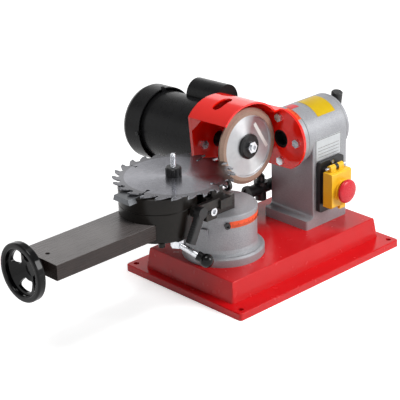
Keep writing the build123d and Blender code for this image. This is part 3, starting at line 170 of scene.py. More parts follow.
# Bolts, screws and pins: bought steel parts. The base bolts and the fan cover's screws are
# blackened, and the others are bright zinc plate with a faint cloud.


def plated_steel(name, shades, gloss, metallic=1.0, cloud_mm=6.0):
    """Plated or blackened steel: clouds in shade and gloss, and a fine machining grain."""
    material, place = start_finish(name)
    cloud = patches(material, place, cloud_mm, 5.0)
    fine = patches(material, place, 0.5, 2.0)
    return end_finish(material, Base_Color=shaded(material, cloud, shades, 0.35, 0.65),
                      Roughness=roughened(material, cloud, gloss),
                      Normal=relief(material, fine, 0.25, 0.04), Metallic=metallic)


black_oxide = plated_steel("black_oxide_steel", ("#1B1B1C", "#2A2A2B"), (0.32, 0.48),
                           metallic=0.6)
zinc_plate = plated_steel("zinc_plated_steel", ("#BFC1C6", "#DADCE0"), (0.2, 0.34))
finish_with(black_oxide, "base_bolts", "fan_cover_screws")
finish_with(zinc_plate, "head_bolts", "wheel_screw", "switch_screws", "flap_pin")

# Socket screws: one zinc-plated screw clamps the stop's bracket to the arm, and the
# others, in the arm and beside the turntable's scale, are blackened.

screw_finish, place = start_finish("zinc_and_black_screws")
plated_screw, plated_reach = (-0.152, -0.0405, 0.1445), 0.014
apart = add(screw_finish, "ShaderNodeVectorMath", {0: place, 1: plated_screw},
            operation="DISTANCE")
plated = stretched(screw_finish, apart.outputs["Value"], plated_reach, plated_reach + 0.001,
                   1.0, 0.0)
screw_cloud = patches(screw_finish, place, 4, 4.0)
end_finish(screw_finish,
           Base_Color=mixed(screw_finish, plated, linear("#1C1C1D"), linear("#D2D4D8")),
           Roughness=roughened(screw_finish, screw_cloud, (0.24, 0.4)),
           Metallic=plated)
finish_with(screw_finish, "socket_screws")

# Headstock, end cap, pedestal, turntable and drum: iron castings in a silver paint.
# The paint holds aluminium flake, so it glints softly and shows the sand texture below.

silver_paint = sprayed_enamel(
    "silver_paint_on_cast_iron", ("#98999D", "#A1A2A6"), peel_mm=1.3, peel_depth_mm=0.09,
    gloss=(0.36, 0.5), metallic=0.25, flake=0.16)
finish_with(silver_paint, "headstock", "end_cap", "pedestal", "turntable", "swivel_drum")

# Stop rod, shafts, pivot pin and bearings: turned steel. The rod is ground bright, with
# fine rings that draw its highlight out to a soft streak. The tilt shaft is blackened as
# painted shade, so that its end reads as a dark recess in the side plate's hole, and the
# others are bright.


def turned_metal(name, shades, centre, ring_axis, ring_mm, ring_depth_mm, gloss, tilt=0.0,
                 rim=None, metallic=1.0, stretch=0.8, shine=0.5):
    """Turned metal: rings around an axis through centre, with a slow change of shade.

    rim is a pair of radius in millimetres and colour: from there out the piece is darker.
    stretch is how far the rings draw the highlight out across them. The wave texture's
    rings are 314.159 mm apart at a scale of 1."""
    material, place = start_finish(name)
    turn = Matrix.Rotation(-tilt, 3, "X")
    moved = add(material, "ShaderNodeMapping", {
        "Vector": place, "Location": -(turn @ Vector(centre)),
        "Rotation": (-tilt, 0.0, 0.0)}).outputs["Vector"]
    rings = add(material, "ShaderNodeTexWave", {
        "Vector": moved, "Scale": 314.159 / ring_mm, "Distortion": 1.2, "Detail": 3.0,
        "Detail Scale": 1.5}, wave_type="RINGS", rings_direction=ring_axis).outputs["Fac"]
    surface = shaded(material, patches(material, place, 9, 5.0), shades)
    if rim:
        rim_radius, half_edge = rim[0] / 1000, 0.0004
        flat = {"X": (0, 1, 1), "Y": (1, 0, 1), "Z": (1, 1, 0)}[ring_axis]
        across = add(material, "ShaderNodeVectorMath", {0: moved, 1: flat},
                     operation="MULTIPLY")
        radius = add(material, "ShaderNodeVectorMath", {0: across.outputs["Vector"]},
                     operation="LENGTH")
        edge = stretched(material, radius.outputs["Value"], rim_radius - half_edge,
                         rim_radius + half_edge)
        surface = mixed(material, edge, surface, linear(rim[1]))
    tangent = add(material, "ShaderNodeTangent", direction_type="RADIAL", axis=ring_axis)
    return end_finish(material, Base_Color=surface,
                      Roughness=stretched(material, rings, 0.0, 1.0, *gloss),
                      Normal=relief(material, rings, 0.2, ring_depth_mm), Metallic=metallic,
                      Specular_IOR_Level=shine, Anisotropic=stretch,
                      Anisotropic_Rotation=0.25, Tangent=tangent.outputs["Tangent"])


tilt_height = 0.199
ground_bar = turned_metal(
    "ground_bright_steel", ("#B9BABE", "#CDCED2"), (0.0, 0.0, tilt_height), "X", ring_mm=0.9,
    ring_depth_mm=0.012, gloss=(0.2, 0.3))
finish_with(ground_bar, "stop_rod")
# Painted shade: the tilt shaft is blackened so its end in the side plate's hole reads as a dark
# recess.
finish_with(black_oxide, "tilt_shaft")
finish_with(zinc_plate, "pivot_pin", "motor_shaft", "motor_bearings")

# Arm: a flat steel bar, ground all over and then browned with oil against rust.
# The grinding leaves fine straight lines along the bar, seen best on its top, which is
# painted paler and brighter than the sides: a painted highlight of the light from above.

arm_steel, place = start_finish("browned_ground_steel")
lines_place = add(arm_steel, "ShaderNodeMapping", {"Vector": place, "Scale": (0.04, 1.0, 1.0)})
lines = patches(arm_steel, lines_place.outputs["Vector"], 0.8, 4.0)
stain = patches(arm_steel, place, 28, 5.0)
brown = shaded(arm_steel, stain, ("#2B2220", "#332926"), 0.35, 0.65)
# Painted highlight: the top face gets a paler, greyer colour than the sides, for the light that
# falls on it.
painted_top_highlight = shaded(arm_steel, stain, ("#55504F", "#5F5A59"), 0.35, 0.65)
arm_height = add(arm_steel, "ShaderNodeSeparateXYZ", {"Vector": place}).outputs["Z"]
edge_start, edge_end = 0.1524, 0.1529
on_top = stretched(arm_steel, arm_height, edge_start, edge_end)
end_finish(arm_steel, Base_Color=mixed(arm_steel, on_top, brown, painted_top_highlight),
           Roughness=roughened(arm_steel, lines, (0.22, 0.34)),
           Normal=relief(arm_steel, lines, 0.25, 0.05),
           Specular_IOR_Level=stretched(arm_steel, on_top, 0.0, 1.0, 0.3, 0.62))
finish_with(arm_steel, "arm")

# Angle scale: a strip of orange printed foil glued round the turntable, with dark
# graduations that the pedestal's edge is read against.


def mesh_piece(name, points, faces):
    """A new flat-shaded piece from an array of points in metres and a list of faces."""
    mesh = bpy.data.meshes.new(name)
    mesh.from_pydata(points.tolist(), [], faces)
    mesh.validate()
    mesh.update()
    piece = bpy.data.objects.new(name, mesh)
    bpy.context.scene.collection.objects.link(piece)
    return piece


def outward(piece):
    """Turns a closed piece's faces outwards, by the sign of its enclosed volume."""
    mesh = piece.data
    mesh.calc_loop_triangles()
    triangles = np.empty(len(mesh.loop_triangles) * 3, dtype=np.int32)
    mesh.loop_triangles.foreach_get("vertices", triangles)
    points = np.empty(len(mesh.vertices) * 3)
    mesh.vertices.foreach_get("co", points)
    a, b, c = points.reshape(-1, 3)[triangles.reshape(-1, 3)].transpose(1, 0, 2)
    if np.einsum("ij,ij->i", a, np.cross(b, c)).sum() < 0:
        mesh.flip_normals()
    return piece


def small_blocks(name, centres, directions, sizes):
    """Small rectangular blocks: each corner is the centre plus or minus half of each
    size along the block's own three directions."""
    signs = np.array([(x, y, z) for x in (-1, 1) for y in (-1, 1) for z in (-1, 1)], dtype=float)
    corners = centres[:, None, :] + np.einsum("ks,ns,nsj->nkj", signs, sizes / 2, directions)
    sides = np.array([(0, 1, 3, 2), (4, 6, 7, 5), (0, 4, 5, 1), (2, 3, 7, 6), (0, 2, 6, 4),
                      (1, 5, 7, 3)])
    faces = (np.arange(len(centres))[:, None, None] * 8 + sides[None]).reshape(-1, 4)
    return outward(mesh_piece(name, corners.reshape(-1, 3), faces.tolist()))


def ring_frame(axis, angles):
    """Unit directions out of a ring and along its axis at these angles, in degrees.

    About z they count from +x to +y, and about x from +z to -y."""
    turn = np.radians(angles)
    zero = np.zeros_like(turn)
    if axis == "z":
        out = np.stack([np.cos(turn), np.sin(turn), zero], axis=-1)
        along = np.tile([0.0, 0.0, 1.0], (len(turn), 1))
    else:
        out = np.stack([zero, -np.sin(turn), np.cos(turn)], axis=-1)
        along = np.tile([1.0, 0.0, 0.0], (len(turn), 1))
    return out, along


def curved_strip(name, axis, centre, radius, angles, half_width, thickness=0.0003):
    """A strip round a cylinder's side: at each angle a flat rectangle, half_width to both
    sides along the axis and thickness outwards, joined to the next one and capped."""
    out, along = ring_frame(axis, angles)
    path = np.array(centre) + out * radius
    corners = np.array([(-1, 0), (1, 0), (1, 1), (-1, 1)], dtype=float)
    points = (path[:, None, :] + along[:, None, :] * (corners[None, :, :1] * half_width)
              + out[:, None, :] * (corners[None, :, 1:] * thickness))
    index = np.arange(len(path) * 4).reshape(-1, 4)
    after = np.roll(index, -1, axis=1)
    faces = np.stack([index[:-1], index[1:], after[1:], after[:-1]], axis=-1).reshape(-1, 4)
    faces = np.concatenate([faces, index[:1], index[-1:, ::-1]])
    return outward(mesh_piece(name, points.reshape(-1, 3), faces.tolist()))


def graduations(name, axis, centre, radius, angles, reach, offsets):
    """Thin lines across a curved strip: at each angle a block as long as its reach, in
    metres, and moved along the axis by its offset."""
    line_width, line_thickness = 0.0004, 0.0003
    out, along = ring_frame(axis, angles)
    sideways = np.cross(along, out)
    centres = np.array(centre) + out * radius + along * offsets[:, None]
    sizes = np.stack([np.full(len(angles), line_width), np.full(len(angles), line_thickness),
                      reach], axis=-1)
    return small_blocks(name, centres, np.stack([sideways, out, along], axis=1), sizes)


def plain_sheen(name, shades, gloss, grain_mm, depth_mm, shine=0.4):
    """Foil, film or moulded plastic: close shades in small clouds and a fine grain."""
    material, place = start_finish(name)
    cloud = patches(material, place, 14, 4.0)
    skin = patches(material, place, grain_mm, 3.0)
    return end_finish(material, Base_Color=shaded(material, cloud, shades),
                      Roughness=roughened(material, skin, gloss),
                      Normal=relief(material, skin, 0.3, depth_mm), Specular_IOR_Level=shine)


orange_foil = plain_sheen("orange_printed_foil", ("#F5521F", "#FB6232"), (0.3, 0.42), 1.5, 0.01)
scale_ink = plain_sheen("black_scale_ink", ("#2A1712", "#33201A"), (0.45, 0.55), 0.6, 0.005)
turntable_centre = (-0.093, 0.0, 0.114)
angle_scale = curved_strip("angle_scale", "z", turntable_centre, radius=0.05605,
                           angles=np.linspace(-123, -35, 90), half_width=0.0055)
angle_scale.data.materials.append(orange_foil)
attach(angle_scale, "turntable")
scale_angles = np.arange(-118.0, -39.0, 2.0)
mark_reach = np.where(np.arange(len(scale_angles)) % 5 == 0, 0.0065, 0.004)
angle_marks = graduations("angle_scale_marks", "z", turntable_centre, radius=0.05638,
                          angles=scale_angles, reach=mark_reach,
                          offsets=-0.005 + mark_reach / 2)
angle_marks.data.materials.append(scale_ink)
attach(angle_marks, "turntable")

# Stop bracket and finger: blackened steel on the arm, with the ribbed clamp lever and
# the tilt clamp's handle moulded in glass-filled nylon, which is dull with a fine grain.

blackened_block = plated_steel("blackened_steel_block", ("#22201F", "#34302D"), (0.34, 0.5),
                               metallic=0.5, cloud_mm=11)
black_nylon = plain_sheen("black_filled_nylon", ("#1D1D1E", "#262627"), (0.4, 0.55), 0.9, 0.03)
finish_with(blackened_block, "stop_bracket", "stop_finger")
finish_with(black_nylon, "stop_clamp_lever", "tilt_clamp_lever")

# Lead screw: a steel bar with a trapezoidal thread of 5 mm pitch between two plain
# journals, with a thrust collar behind the arm's end wall.


def ringed_piece(name, rings):
    """A closed round piece from a grid of points, with one row for each ring.

    Each ring is joined to the next by four-sided faces, and the first and the last are
    filled flat. Edges over 35 degrees stay sharp and the rest is smooth."""
    index = np.arange(rings.shape[0] * rings.shape[1]).reshape(rings.shape[:2])
    after = np.roll(index, -1, axis=1)
    faces = np.stack([index[:-1], after[:-1], after[1:], index[1:]], axis=-1).reshape(-1, 4)
    ends = [index[0][::-1].tolist(), index[-1].tolist()]
    piece = mesh_piece(name, rings.reshape(-1, 3), faces.tolist() + ends)
    mesh = piece.data
    mesh.polygons.foreach_set("use_smooth", np.arange(len(mesh.polygons)) < len(faces))
    mesh.update()
    mesh.set_sharp_from_angle(angle=np.radians(35))
    return outward(piece)


def threaded_bar(name, axis, centre, stations, pitch, depth, around=48):
    """A bar whose radius is a profile along its axis, less a thread groove.

    stations are rows of place, radius and thread, 1 where the bar is threaded, and are
    joined by straight runs. The groove at place s and angle t is depth times thread times
    a trapezium wave of s / pitch - t / one turn."""
    step = pitch / 10
    rows = []
    for a, b in zip(stations, stations[1:]):
        count = max(1, int(abs(b[0] - a[0]) / step)) if a[2] or b[2] else 1
        rows.append(np.linspace(a, b, count, endpoint=False))
    place, radius, thread = np.concatenate(rows + [np.array(stations[-1:])]).T
    turn = np.linspace(0, 2 * np.pi, around, endpoint=False)
    phase = (place[:, None] / pitch - turn[None, :] / (2 * np.pi)) % 1.0
    groove = np.clip(1.5 - 4.5 * np.abs(phase - 0.5), 0.0, 1.0)
    size = radius[:, None] - depth * thread[:, None] * groove
    first, second = centre[0] + size * np.cos(turn), centre[1] + size * np.sin(turn)
    along = place[:, None] + 0 * size
    order = [along, first, second] if axis == "x" else [first, second, along]
    return ringed_piece(name, np.stack(order, axis=-1))


arm_middle = 0.0143
screw_low, screw_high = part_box("lead_screw")
journal, crest, collar = 0.005, 0.006, 0.007
lead_screw = threaded_bar("lead_screw_threaded", "x", (arm_middle, 0.1395), [
    (screw_low[0], journal, 0), (-0.4429, journal, 0), (-0.4427, collar, 0),
    (-0.436, collar, 0), (-0.4358, crest, 0), (-0.434, crest, 1), (-0.110, crest, 1),
    (-0.1075, crest, 0), (-0.1073, journal, 0), (screw_high[0], journal, 0)],
    pitch=0.005, depth=0.0014)
bright_screw = plated_steel("oiled_bright_steel", ("#A9AAAD", "#C2C3C6"), (0.18, 0.3))
lead_screw.data.materials.append(bright_screw)
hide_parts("lead_screw")
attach(lead_screw, "handwheel")

# Handwheel and lever ball: black phenolic, pressed in polished moulds, so they are very
# glossy with only a slow ripple.

phenolic = plain_sheen("black_phenolic", ("#080809", "#0C0C0D"), (0.08, 0.13), 7.0, 0.03,
                       shine=0.19)
finish_with(phenolic, "handwheel", "lever_ball")

# Carriage: two turned iron castings around the arm, blackened in hot salts and oiled.
# The tool has left fine rings on the sides and on the top. A bronze nut in the body runs
# on the lead screw.

carriage_iron = turned_metal(
    "blackened_turned_iron", ("#171411", "#1D1916"), (-0.217, arm_middle, 0.0), "Z",
    ring_mm=1.1, ring_depth_mm=0.03, gloss=(0.3, 0.42), metallic=0.0, stretch=0.4, shine=0.2)
finish_with(carriage_iron, "carriage_body", "carriage_top")
bronze = plated_steel("cast_bronze", ("#8C6B3A", "#A8854D"), (0.3, 0.45))
finish_with(bronze, "lead_nut")

# Feed crank, feed lever and dovetail slide: milled steel, oiled and gone grey, and a
# lever rod in zinc plate.

milled_steel = plated_steel("milled_steel", ("#5E6063", "#6C6E71"), (0.28, 0.4), cloud_mm=9)
finish_with(milled_steel, "feed_crank", "dovetail_slide")
finish_with(zinc_plate, "feed_lever")

# Arbor: a threaded steel stud in the slide with a thin flange, and a black knurled nut
# that centres and holds the blade.

stud_low, stud_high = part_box("arbor_stud")
stud_top = stud_high[2]
arbor_centre = (-0.1822, arm_middle)
shank, flange = 0.004, 0.018
arbor_stud = threaded_bar("arbor_stud_threaded", "z", arbor_centre, [
    (stud_low[2], shank, 0), (0.1957, shank, 0), (0.1958, flange, 0), (0.1968, flange, 0),
    (0.1969, shank, 0), (0.2137, shank, 0), (0.2142, shank, 1), (stud_top - 0.0014, shank, 1),
    (stud_top - 0.0012, 0.0036, 0), (stud_top, 0.003, 0)],
    pitch=0.00125, depth=0.0006)
arbor_stud.data.materials.append(zinc_plate)
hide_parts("arbor_stud")
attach(arbor_stud, "feed_slide")
finish_with(black_oxide, "arbor_nut")

# Saw blade: a hardened steel disc, ground flat on both sides from the centre out, with
# the rim left duller, and a carbide tip brazed on the face of every tooth.

blade_steel = turned_metal(
    "ground_saw_steel", ("#7E7E84", "#88888E"), (*arbor_centre, 0.0), "Z", ring_mm=0.8,
    ring_depth_mm=0.006, gloss=(0.2, 0.26), rim=(77.0, "#6A6A6E"), stretch=0.9)
finish_with(blade_steel, "saw_blade")
carbide = plated_steel("ground_carbide", ("#77797D", "#94969A"), (0.25, 0.4), cloud_mm=2)
blade_low, blade_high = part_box("saw_blade")
teeth = 24
tooth_angles = np.arange(teeth) * 360.0 / teeth


def blade_point(angle, radius):
    """Places on the blade at these angles in degrees and this radius in metres."""
    turn = np.radians(angle)
    middle = (blade_low[2] + blade_high[2]) / 2
    return np.stack([arbor_centre[0] + radius * np.cos(turn),
                     arbor_centre[1] + radius * np.sin(turn),
                     np.full_like(turn, middle)], axis=-1)


tip_radius, foot_radius, foot_lead = 0.095, 0.0866, 1.5
tip_end = blade_point(tooth_angles, tip_radius)
tip_foot = blade_point(tooth_angles + foot_lead, foot_radius)
tip_run = tip_end - tip_foot
tip_run /= np.linalg.norm(tip_run, axis=1, keepdims=True)
tip_up = np.tile([0.0, 0.0, 1.0], (teeth, 1))
tip_behind = np.cross(tip_up, tip_run)
tip_length, tip_thickness, tip_width = 0.0064, 0.002, 0.003
tip_setback, tip_inset = 0.0034, 0.0007
carbide_tips = small_blocks(
    "carbide_tips", tip_end - tip_run * tip_setback + tip_behind * tip_inset,
    np.stack([tip_run, tip_behind, tip_up], axis=1),
    np.tile([tip_length, tip_thickness, tip_width], (teeth, 1)))
carbide_tips.data.materials.append(carbide)
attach(carbide_tips, "blade")

# Tilting head: a side plate, a back plate and a bent hood of steel sheet, welded and
# sprayed with a bright red enamel that is smoother than the paint on the casting.

red_sheet_enamel = sprayed_enamel(
    "red_enamel_on_steel_sheet", ("#FA170A", "#FF1F10"), peel_mm=3.0, peel_depth_mm=0.02,
    gloss=(0.08, 0.12), shine=0.5)
finish_with(red_sheet_enamel, "head_bracket", "wheel_hood")

# Tilt scale: orange foil on the drum's side with graduations, and a red pointer mark
# on the barrel beside it.

tilt_centre = (0.0525, 0.0, tilt_height)
tilt_scale = curved_strip("tilt_scale", "x", tilt_centre, radius=0.05005,
                          angles=np.linspace(4, 40, 38), half_width=0.0042)
tilt_scale.data.materials.append(orange_foil)
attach(tilt_scale, "head")
tilt_angles = np.arange(7.0, 38.0, 2.0)
tilt_reach = np.where(np.arange(len(tilt_angles)) % 5 == 0, 0.0055, 0.0032)
tilt_marks = graduations("tilt_scale_marks", "x", tilt_centre, radius=0.05038,
                         angles=tilt_angles, reach=tilt_reach,
                         offsets=0.0038 - tilt_reach / 2)
tilt_marks.data.materials.append(scale_ink)
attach(tilt_marks, "head")
red_film = plain_sheen("red_printed_film", ("#C8202A", "#D62C36"), (0.3, 0.42), 1.5, 0.01)
barrel_radius = 0.04805
pointer = curved_strip("tilt_pointer", "x", (0.070, 0.0, tilt_height), radius=barrel_radius,
                       angles=np.linspace(-12, 8, 22), half_width=0.0085)
pointer.data.materials.append(red_film)
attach(pointer, "base")

# Motor: a rolled steel shell between two cast bells, with a pressed fan cover and a
# domed capacitor cover, all in a satin black stove enamel. The core is varnished steel,
# the capacitor an aluminium can, and the fan, elbow, gland and boxes are moulded ABS.

motor_enamel = sprayed_enamel(
    "black_stove_enamel", ("#161617", "#1B1B1C"), peel_mm=1.8, peel_depth_mm=0.03,
    gloss=(0.24, 0.34), shine=0.11)
finish_with(motor_enamel, "motor_front_bell", "motor_shell", "motor_rear_bell", "fan_cover",
            "capacitor_cover")
core = plated_steel("varnished_core_steel", ("#3C3A38", "#524C45"), (0.4, 0.55), metallic=0.6)
finish_with(core, "stator", "rotor")
black_moulding = plain_sheen("black_moulded_abs", ("#161617", "#1E1E1F"), (0.34, 0.46), 1.1,
                             0.03)
finish_with(black_moulding, "cooling_fan", "terminal_box", "lead_elbow", "lead_gland",
            "switch_box", "switch_front")
can = plated_steel("drawn_aluminium_can", ("#B4B6B9", "#CACCCF"), (0.25, 0.4))
finish_with(can, "capacitor")

# Grinding wheel: an aluminium dish turned on its face, with a ring of diamond grit in
# brown resin moulded round its rim. A black flange and washer clamp it on the shaft.

wheel_centre = (-0.0223, 0.00018, 0.2024)
head_tilt = np.radians(-3.0)
turned_aluminium = turned_metal(
    "turned_aluminium", ("#AEAFB2", "#B8B9BB"), wheel_centre, "Y", ring_mm=0.7,
    ring_depth_mm=0.006, gloss=(0.3, 0.38), tilt=head_tilt, stretch=0.9)
finish_with(turned_aluminium, "wheel_body")
finish_with(black_oxide, "wheel_flange", "wheel_washer")
grit, place = start_finish("resin_bonded_grit")
grains = add(grit, "ShaderNodeTexVoronoi", {
    "Vector": place, "Scale": grain(0.9)}).outputs["Distance"]
resin = mixed(grit, patches(grit, place, 6, 4.0), linear("#9E7F6E"), linear("#B79A88"))
speckle = stretched(grit, grains, 0.15, 0.6, 0.0, 0.35)
end_finish(grit, Base_Color=mixed(grit, speckle, resin, linear("#6E5648")), Roughness=0.62,
           Normal=relief(grit, grains, 0.5, 0.1))
finish_with(grit, "abrasive_rim")

# Motor lead: a round rubber-sheathed flex from the elbow's gland up to the terminal
# box on the motor.

route = np.array([(58.0, 62.0, 115.0), (58.0, 62.0, 156.4), (57.9, 68.1, 171.1),
                  (57.8, 79.4, 182.4), (57.7, 94.1, 188.5), (57.7, 106.3, 187.8)]) / 1000
lead_curve = bpy.data.curves.new("motor_lead_route", "CURVE")
lead_curve.dimensions = "3D"
lead_curve.resolution_u = 12
spline = lead_curve.splines.new("NURBS")
spline.points.add(len(route) - 1)
spline.points.foreach_set("co", np.column_stack([route, np.ones(len(route))]).ravel())
spline.order_u = 3
spline.use_endpoint_u = True
route_object = bpy.data.objects.new("motor_lead_route", lead_curve)
bpy.context.scene.collection.objects.link(route_object)
bpy.context.view_layer.update()
drawn_route = route_object.evaluated_get(bpy.context.evaluated_depsgraph_get())
line_mesh = bpy.data.meshes.new_from_object(drawn_route)
line = np.empty(len(line_mesh.vertices) * 3)
line_mesh.vertices.foreach_get("co", line)
line = line.reshape(-1, 3)
bpy.data.objects.remove(route_object)
bpy.data.meshes.remove(line_mesh)


def round_sheath(name, path, radius, around=24):
    """A tube: at each point of the path a circle in the plane across the path's
    direction, turned from one fixed sideways direction so that it doesn't twist."""
    direction = np.gradient(path, axis=0)
    direction /= np.linalg.norm(direction, axis=1, keepdims=True)
    side = np.cross(direction, (1.0, 0.0, 0.0))
    side /= np.linalg.norm(side, axis=1, keepdims=True)
    other = np.cross(direction, side)
    turn = np.linspace(0, 2 * np.pi, around, endpoint=False)[None, :, None]
    circle = side[:, None, :] * np.cos(turn) + other[:, None, :] * np.sin(turn)
    return ringed_piece(name, path[:, None, :] + radius * circle)


rubber = plain_sheen("black_rubber_sheath", ("#191919", "#222223"), (0.5, 0.64), 0.8, 0.03)
lead = round_sheath("motor_lead_sheath", line, 0.00275)
lead.data.materials.append(rubber)
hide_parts("motor_lead")
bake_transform(lead)

# Switch: a black box with two buttons under a yellow flap, all moulded in ABS, and a
# red mushroom button whose dome is one smooth curve.

yellow_abs = plain_sheen("yellow_moulded_abs", ("#F2BA20", "#F6C32C"), (0.26, 0.36), 1.2, 0.02)
red_abs = plain_sheen("red_moulded_abs", ("#CE2330", "#D82B37"), (0.22, 0.32), 1.2, 0.02,
                      shine=0.3)
green_abs = plain_sheen("green_moulded_abs", ("#2A8140", "#34924C"), (0.26, 0.36), 1.2, 0.02)
finish_with(yellow_abs, "switch_flap")
finish_with(red_abs, "stop_button")
finish_with(green_abs, "start_button")


def dome_button(name, centre, front, profile, around=64):
    """A turned cap about +y: rings of the profile's radius at its places along y from the
    front, closed by a small flat face at each end."""
    radius, along = profile.T[:, :, None]
    turn = np.linspace(0, 2 * np.pi, around, endpoint=False)
    return ringed_piece(name, np.stack([
        centre[0] + radius * np.cos(turn), front + along + 0 * turn,
        centre[1] + radius * np.sin(turn)], axis=-1))


cap_low, cap_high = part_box("mushroom_button")
cap_reach = cap_high[1] - cap_low[1]
cap_turn = np.radians(np.linspace(3, 90, 18))
dome_edge, dome_fullness, dome_depth = 0.0198, 0.7, 0.0052
cap_dome = np.stack([dome_edge * np.sin(cap_turn) ** dome_fullness,
                     dome_depth * (1 - np.cos(cap_turn))], axis=-1)
skirt, stem, foot = 0.02, 0.007, 0.0086
skirt_end, foot_start = 0.008, cap_reach - 0.0015
cap_skirt = [(skirt, 0.0058), (skirt, 0.0074), (0.0196, skirt_end), (stem, skirt_end),
             (stem, foot_start), (foot, foot_start), (foot, cap_reach)]
mushroom = dome_button("mushroom_dome", (0.104, 0.113), cap_low[1],
                       np.concatenate([cap_dome, cap_skirt]))
mushroom.data.materials.append(red_abs)
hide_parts("mushroom_button")
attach(mushroom, "mushroom")

# Plates and films: an etched aluminium plate with an inked border and rules on the column's
# front, a plain yellow film glued on the barrel, and a paper strip stuck on the wheel's face.


def rounded_plate(name, corner, right, upward, out, size, radius, thickness):
    """A flat plate: a rectangle whose corners are quarter circles, at the surface and
    again at the plate's thickness, with a rim between the two outlines."""
    turn = np.radians(np.linspace(0, 90, 7))
    quarter = radius * np.stack([np.cos(turn), np.sin(turn)], axis=-1)
    between = np.array(size) - 2 * radius
    outline = []
    for step, place in enumerate(((1, 1), (0, 1), (0, 0), (1, 0))):
        cosine, sine = np.cos(step * np.pi / 2), np.sin(step * np.pi / 2)
        rotate = np.array([(cosine, sine), (-sine, cosine)])
        outline.append(quarter @ rotate + (radius + between * np.array(place)))
    outline = np.concatenate(outline)
    flat = np.array(corner) + outline[:, :1] * np.array(right) + outline[:, 1:] * np.array(upward)
    points = np.concatenate([flat, flat + np.array(out) * thickness])
    ring = np.arange(len(flat))
    after, above = np.roll(ring, -1), ring + len(flat)
    rim = np.stack([ring, after, after + len(flat), above], axis=-1)
    return outward(mesh_piece(name, points, rim.tolist() + [ring[::-1].tolist(), above.tolist()]))


etched_plate = plated_steel("etched_aluminium_plate", ("#B9BCBF", "#C2C5C7"), (0.36, 0.48),
                            metallic=0.4, cloud_mm=12)
nameplate = rounded_plate("bare_nameplate", (0.073, -0.04802, 0.1605), (1, 0, 0), (0, 0, 1),
                          (0, -1, 0), size=(0.062, 0.0385), radius=0.002, thickness=0.0006)
nameplate.data.materials.append(etched_plate)
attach(nameplate, "base")
plate_middle, plate_mid_height = 0.104, 0.17975
ink_face, ink_depth, ink_width = -0.04868, 0.0002, 0.0006
bars = [(plate_middle, height, 0.050, 0.0005) for height in (0.1672, 0.1727, 0.1782, 0.1837)]
bars += [(plate_middle, height, 0.0602, ink_width) for height in (0.1617, 0.1978)]
bars += [(side, plate_mid_height, ink_width, 0.0361) for side in (0.0742, 0.1338)]
border = small_blocks(
    "nameplate_border", np.array([(x, ink_face, z) for x, z, _, _ in bars]),
    np.tile(np.eye(3), (len(bars), 1, 1)),
    np.array([(wide, ink_depth, high) for _, _, wide, high in bars]))
border.data.materials.append(scale_ink)
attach(border, "base")
yellow_film = plain_sheen("yellow_printed_film", ("#CDA912", "#D3B118"), (0.3, 0.42), 1.5, 0.01,
                          shine=0.2)
barrel_film = curved_strip("barrel_film", "x", (0.1135, 0.0, tilt_height), radius=barrel_radius,
                           angles=np.linspace(-14, 47, 62), half_width=0.021)
barrel_film.data.materials.append(yellow_film)
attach(barrel_film, "base")

label_paper = plain_sheen("white_label_paper", ("#DAD9D6", "#E2E1DE"), (0.5, 0.62), 0.8, 0.01,
                          shine=0.2)
head_right = np.array((1.0, 0.0, 0.0))
head_up = np.array((0.0, -np.sin(head_tilt), np.cos(head_tilt)))
head_back = np.array((0.0, np.cos(head_tilt), np.sin(head_tilt)))
strip_length, strip_width = 0.052, 0.006
strip_cosine, strip_sine = 0.4873, 0.8733
strip_run = strip_cosine * head_right - strip_sine * head_up
strip_side = strip_sine * head_right + strip_cosine * head_up
strip_middle = np.array((0.007, 0.0, tilt_height)) + 0.01045 * head_back + 0.0148 * head_up
strip_corner = strip_middle - strip_length / 2 * strip_run - strip_width / 2 * strip_side
paper_strip = rounded_plate("blank_paper_strip", strip_corner, strip_run, strip_side, -head_back,
                            size=(strip_length, strip_width), radius=0.0004, thickness=0.0002)
paper_strip.data.materials.append(label_paper)
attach(paper_strip, "spindle")

# Studio: a sheet of white paper under and all round the machine, which the camera and
# polished metal see as a bright wall below a dimmer ceiling. A large soft lamp stands at
# the front right, and two weaker ones hang above.

floor_mesh = bpy.data.meshes.new("floor")
floor_mesh.from_pydata([(-6, -6, 0), (6, -6, 0), (6, 6, 0), (-6, 6, 0)], [], [(0, 1, 2, 3)])
floor = bpy.data.objects.new("floor", floor_mesh)
bpy.context.scene.collection.objects.link(floor)


def seen_directly(owner):
    """1 for rays that show a picture of what they hit, 0 for rays that only gather light."""
    rays = add(owner, "ShaderNodeLightPath").outputs
    mirror = add(owner, "ShaderNodeMath", {
        0: rays["Is Glossy Ray"], 1: rays["Is Transmission Ray"]}, operation="MAXIMUM")
    seen = add(owner, "ShaderNodeMath", {
        0: rays["Is Camera Ray"], 1: mirror.outputs["Value"]}, operation="MAXIMUM")
    return seen.outputs["Value"]


floor_paper, floor_place = start_finish("white_paper_sweep")
floor_reach = add(floor_paper, "ShaderNodeVectorMath", {0: floor_place}, operation="LENGTH")
backdrop = stretched(floor_paper, floor_reach.outputs["Value"], 1.0, 3.0, 0.58, 0.97)
lift = add(floor_paper, "ShaderNodeMath", {0: seen_directly(floor_paper), 1: backdrop},
           operation="MULTIPLY")
paper = add(floor_paper, "ShaderNodeBsdfDiffuse", {"Color": linear("#F2F2F2")})
glow = add(floor_paper, "ShaderNodeEmission", {
    "Color": (1, 1, 1, 1), "Strength": lift.outputs["Value"]})
both = add(floor_paper, "ShaderNodeAddShader", {
    0: paper.outputs["BSDF"], 1: glow.outputs["Emission"]})
add(floor_paper, "ShaderNodeOutputMaterial", {"Surface": both.outputs["Shader"]})
floor_mesh.materials.append(floor_paper)

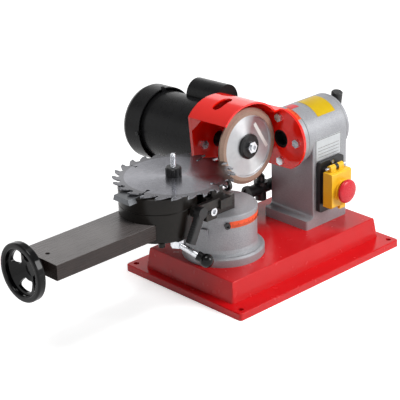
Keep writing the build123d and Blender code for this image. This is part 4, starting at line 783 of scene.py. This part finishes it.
scene = bpy.context.scene
sky = bpy.data.worlds.new("studio_sky")
sky.use_nodes = True
sky.node_tree.nodes.clear()
sky_way = add(sky, "ShaderNodeTexCoord").outputs["Generated"]
sky_height = add(sky, "ShaderNodeSeparateXYZ", {"Vector": sky_way}).outputs["Z"]
wall_light, ceiling_light, gathered_light = 1.4, 0.5, 0.1
sweep = add(sky, "ShaderNodeMapRange", {
    "Value": sky_height, "From Min": 0.4, "From Max": 0.5, "To Min": wall_light,
    "To Max": ceiling_light}, interpolation_type="SMOOTHSTEP")
sky_level = stretched(sky, seen_directly(sky), 0.0, 1.0, gathered_light, sweep.outputs["Result"])
sky_light = add(sky, "ShaderNodeBackground", {"Color": (1, 1, 1, 1), "Strength": sky_level})
add(sky, "ShaderNodeOutputWorld", {"Surface": sky_light.outputs["Background"]})
scene.world = sky


def soft_lamp(name, place, aim, size, watts):
    """A square soft box at place, turned to face aim."""
    light = bpy.data.lights.new(name, "AREA")
    light.shape = "SQUARE"
    light.size = size
    light.energy = watts
    lamp = bpy.data.objects.new(name, light)
    scene.collection.objects.link(lamp)
    towards = Vector(place) - Vector(aim)
    lamp.rotation_euler = towards.to_track_quat("Z", "Y").to_euler()
    lamp.location = place


soft_lamp("key_box", (1.1, -2.2, 1.55), (-0.05, 0.0, 0.12), size=1.4, watts=65)
soft_lamp("top_box", (0.1, 0.2, 2.4), (0.0, 0.0, 0.1), size=1.6, watts=8)
soft_lamp("left_box", (-0.6, -0.2, 2.5), (-0.05, 0.0, 0.12), size=0.9, watts=24)

camera_data = bpy.data.cameras.new("camera")
camera_data.sensor_width = 36.0
camera_data.lens = 140.13
camera = bpy.data.objects.new("camera", camera_data)
scene.collection.objects.link(camera)
camera_right = (0.72063, -0.69290, -0.02614)
camera_up = (0.29061, 0.26751, 0.91873)
camera_back = (-0.62949, -0.66965, 0.39410)
placed = np.eye(4)
placed[:3, :3] = np.stack([camera_right, camera_up, camera_back], axis=1)
placed[:3, 3] = (-1.672, -1.628, 1.107)
camera.matrix_world = Matrix(placed.tolist())
scene.camera = camera
scene.view_settings.view_transform = "Standard"
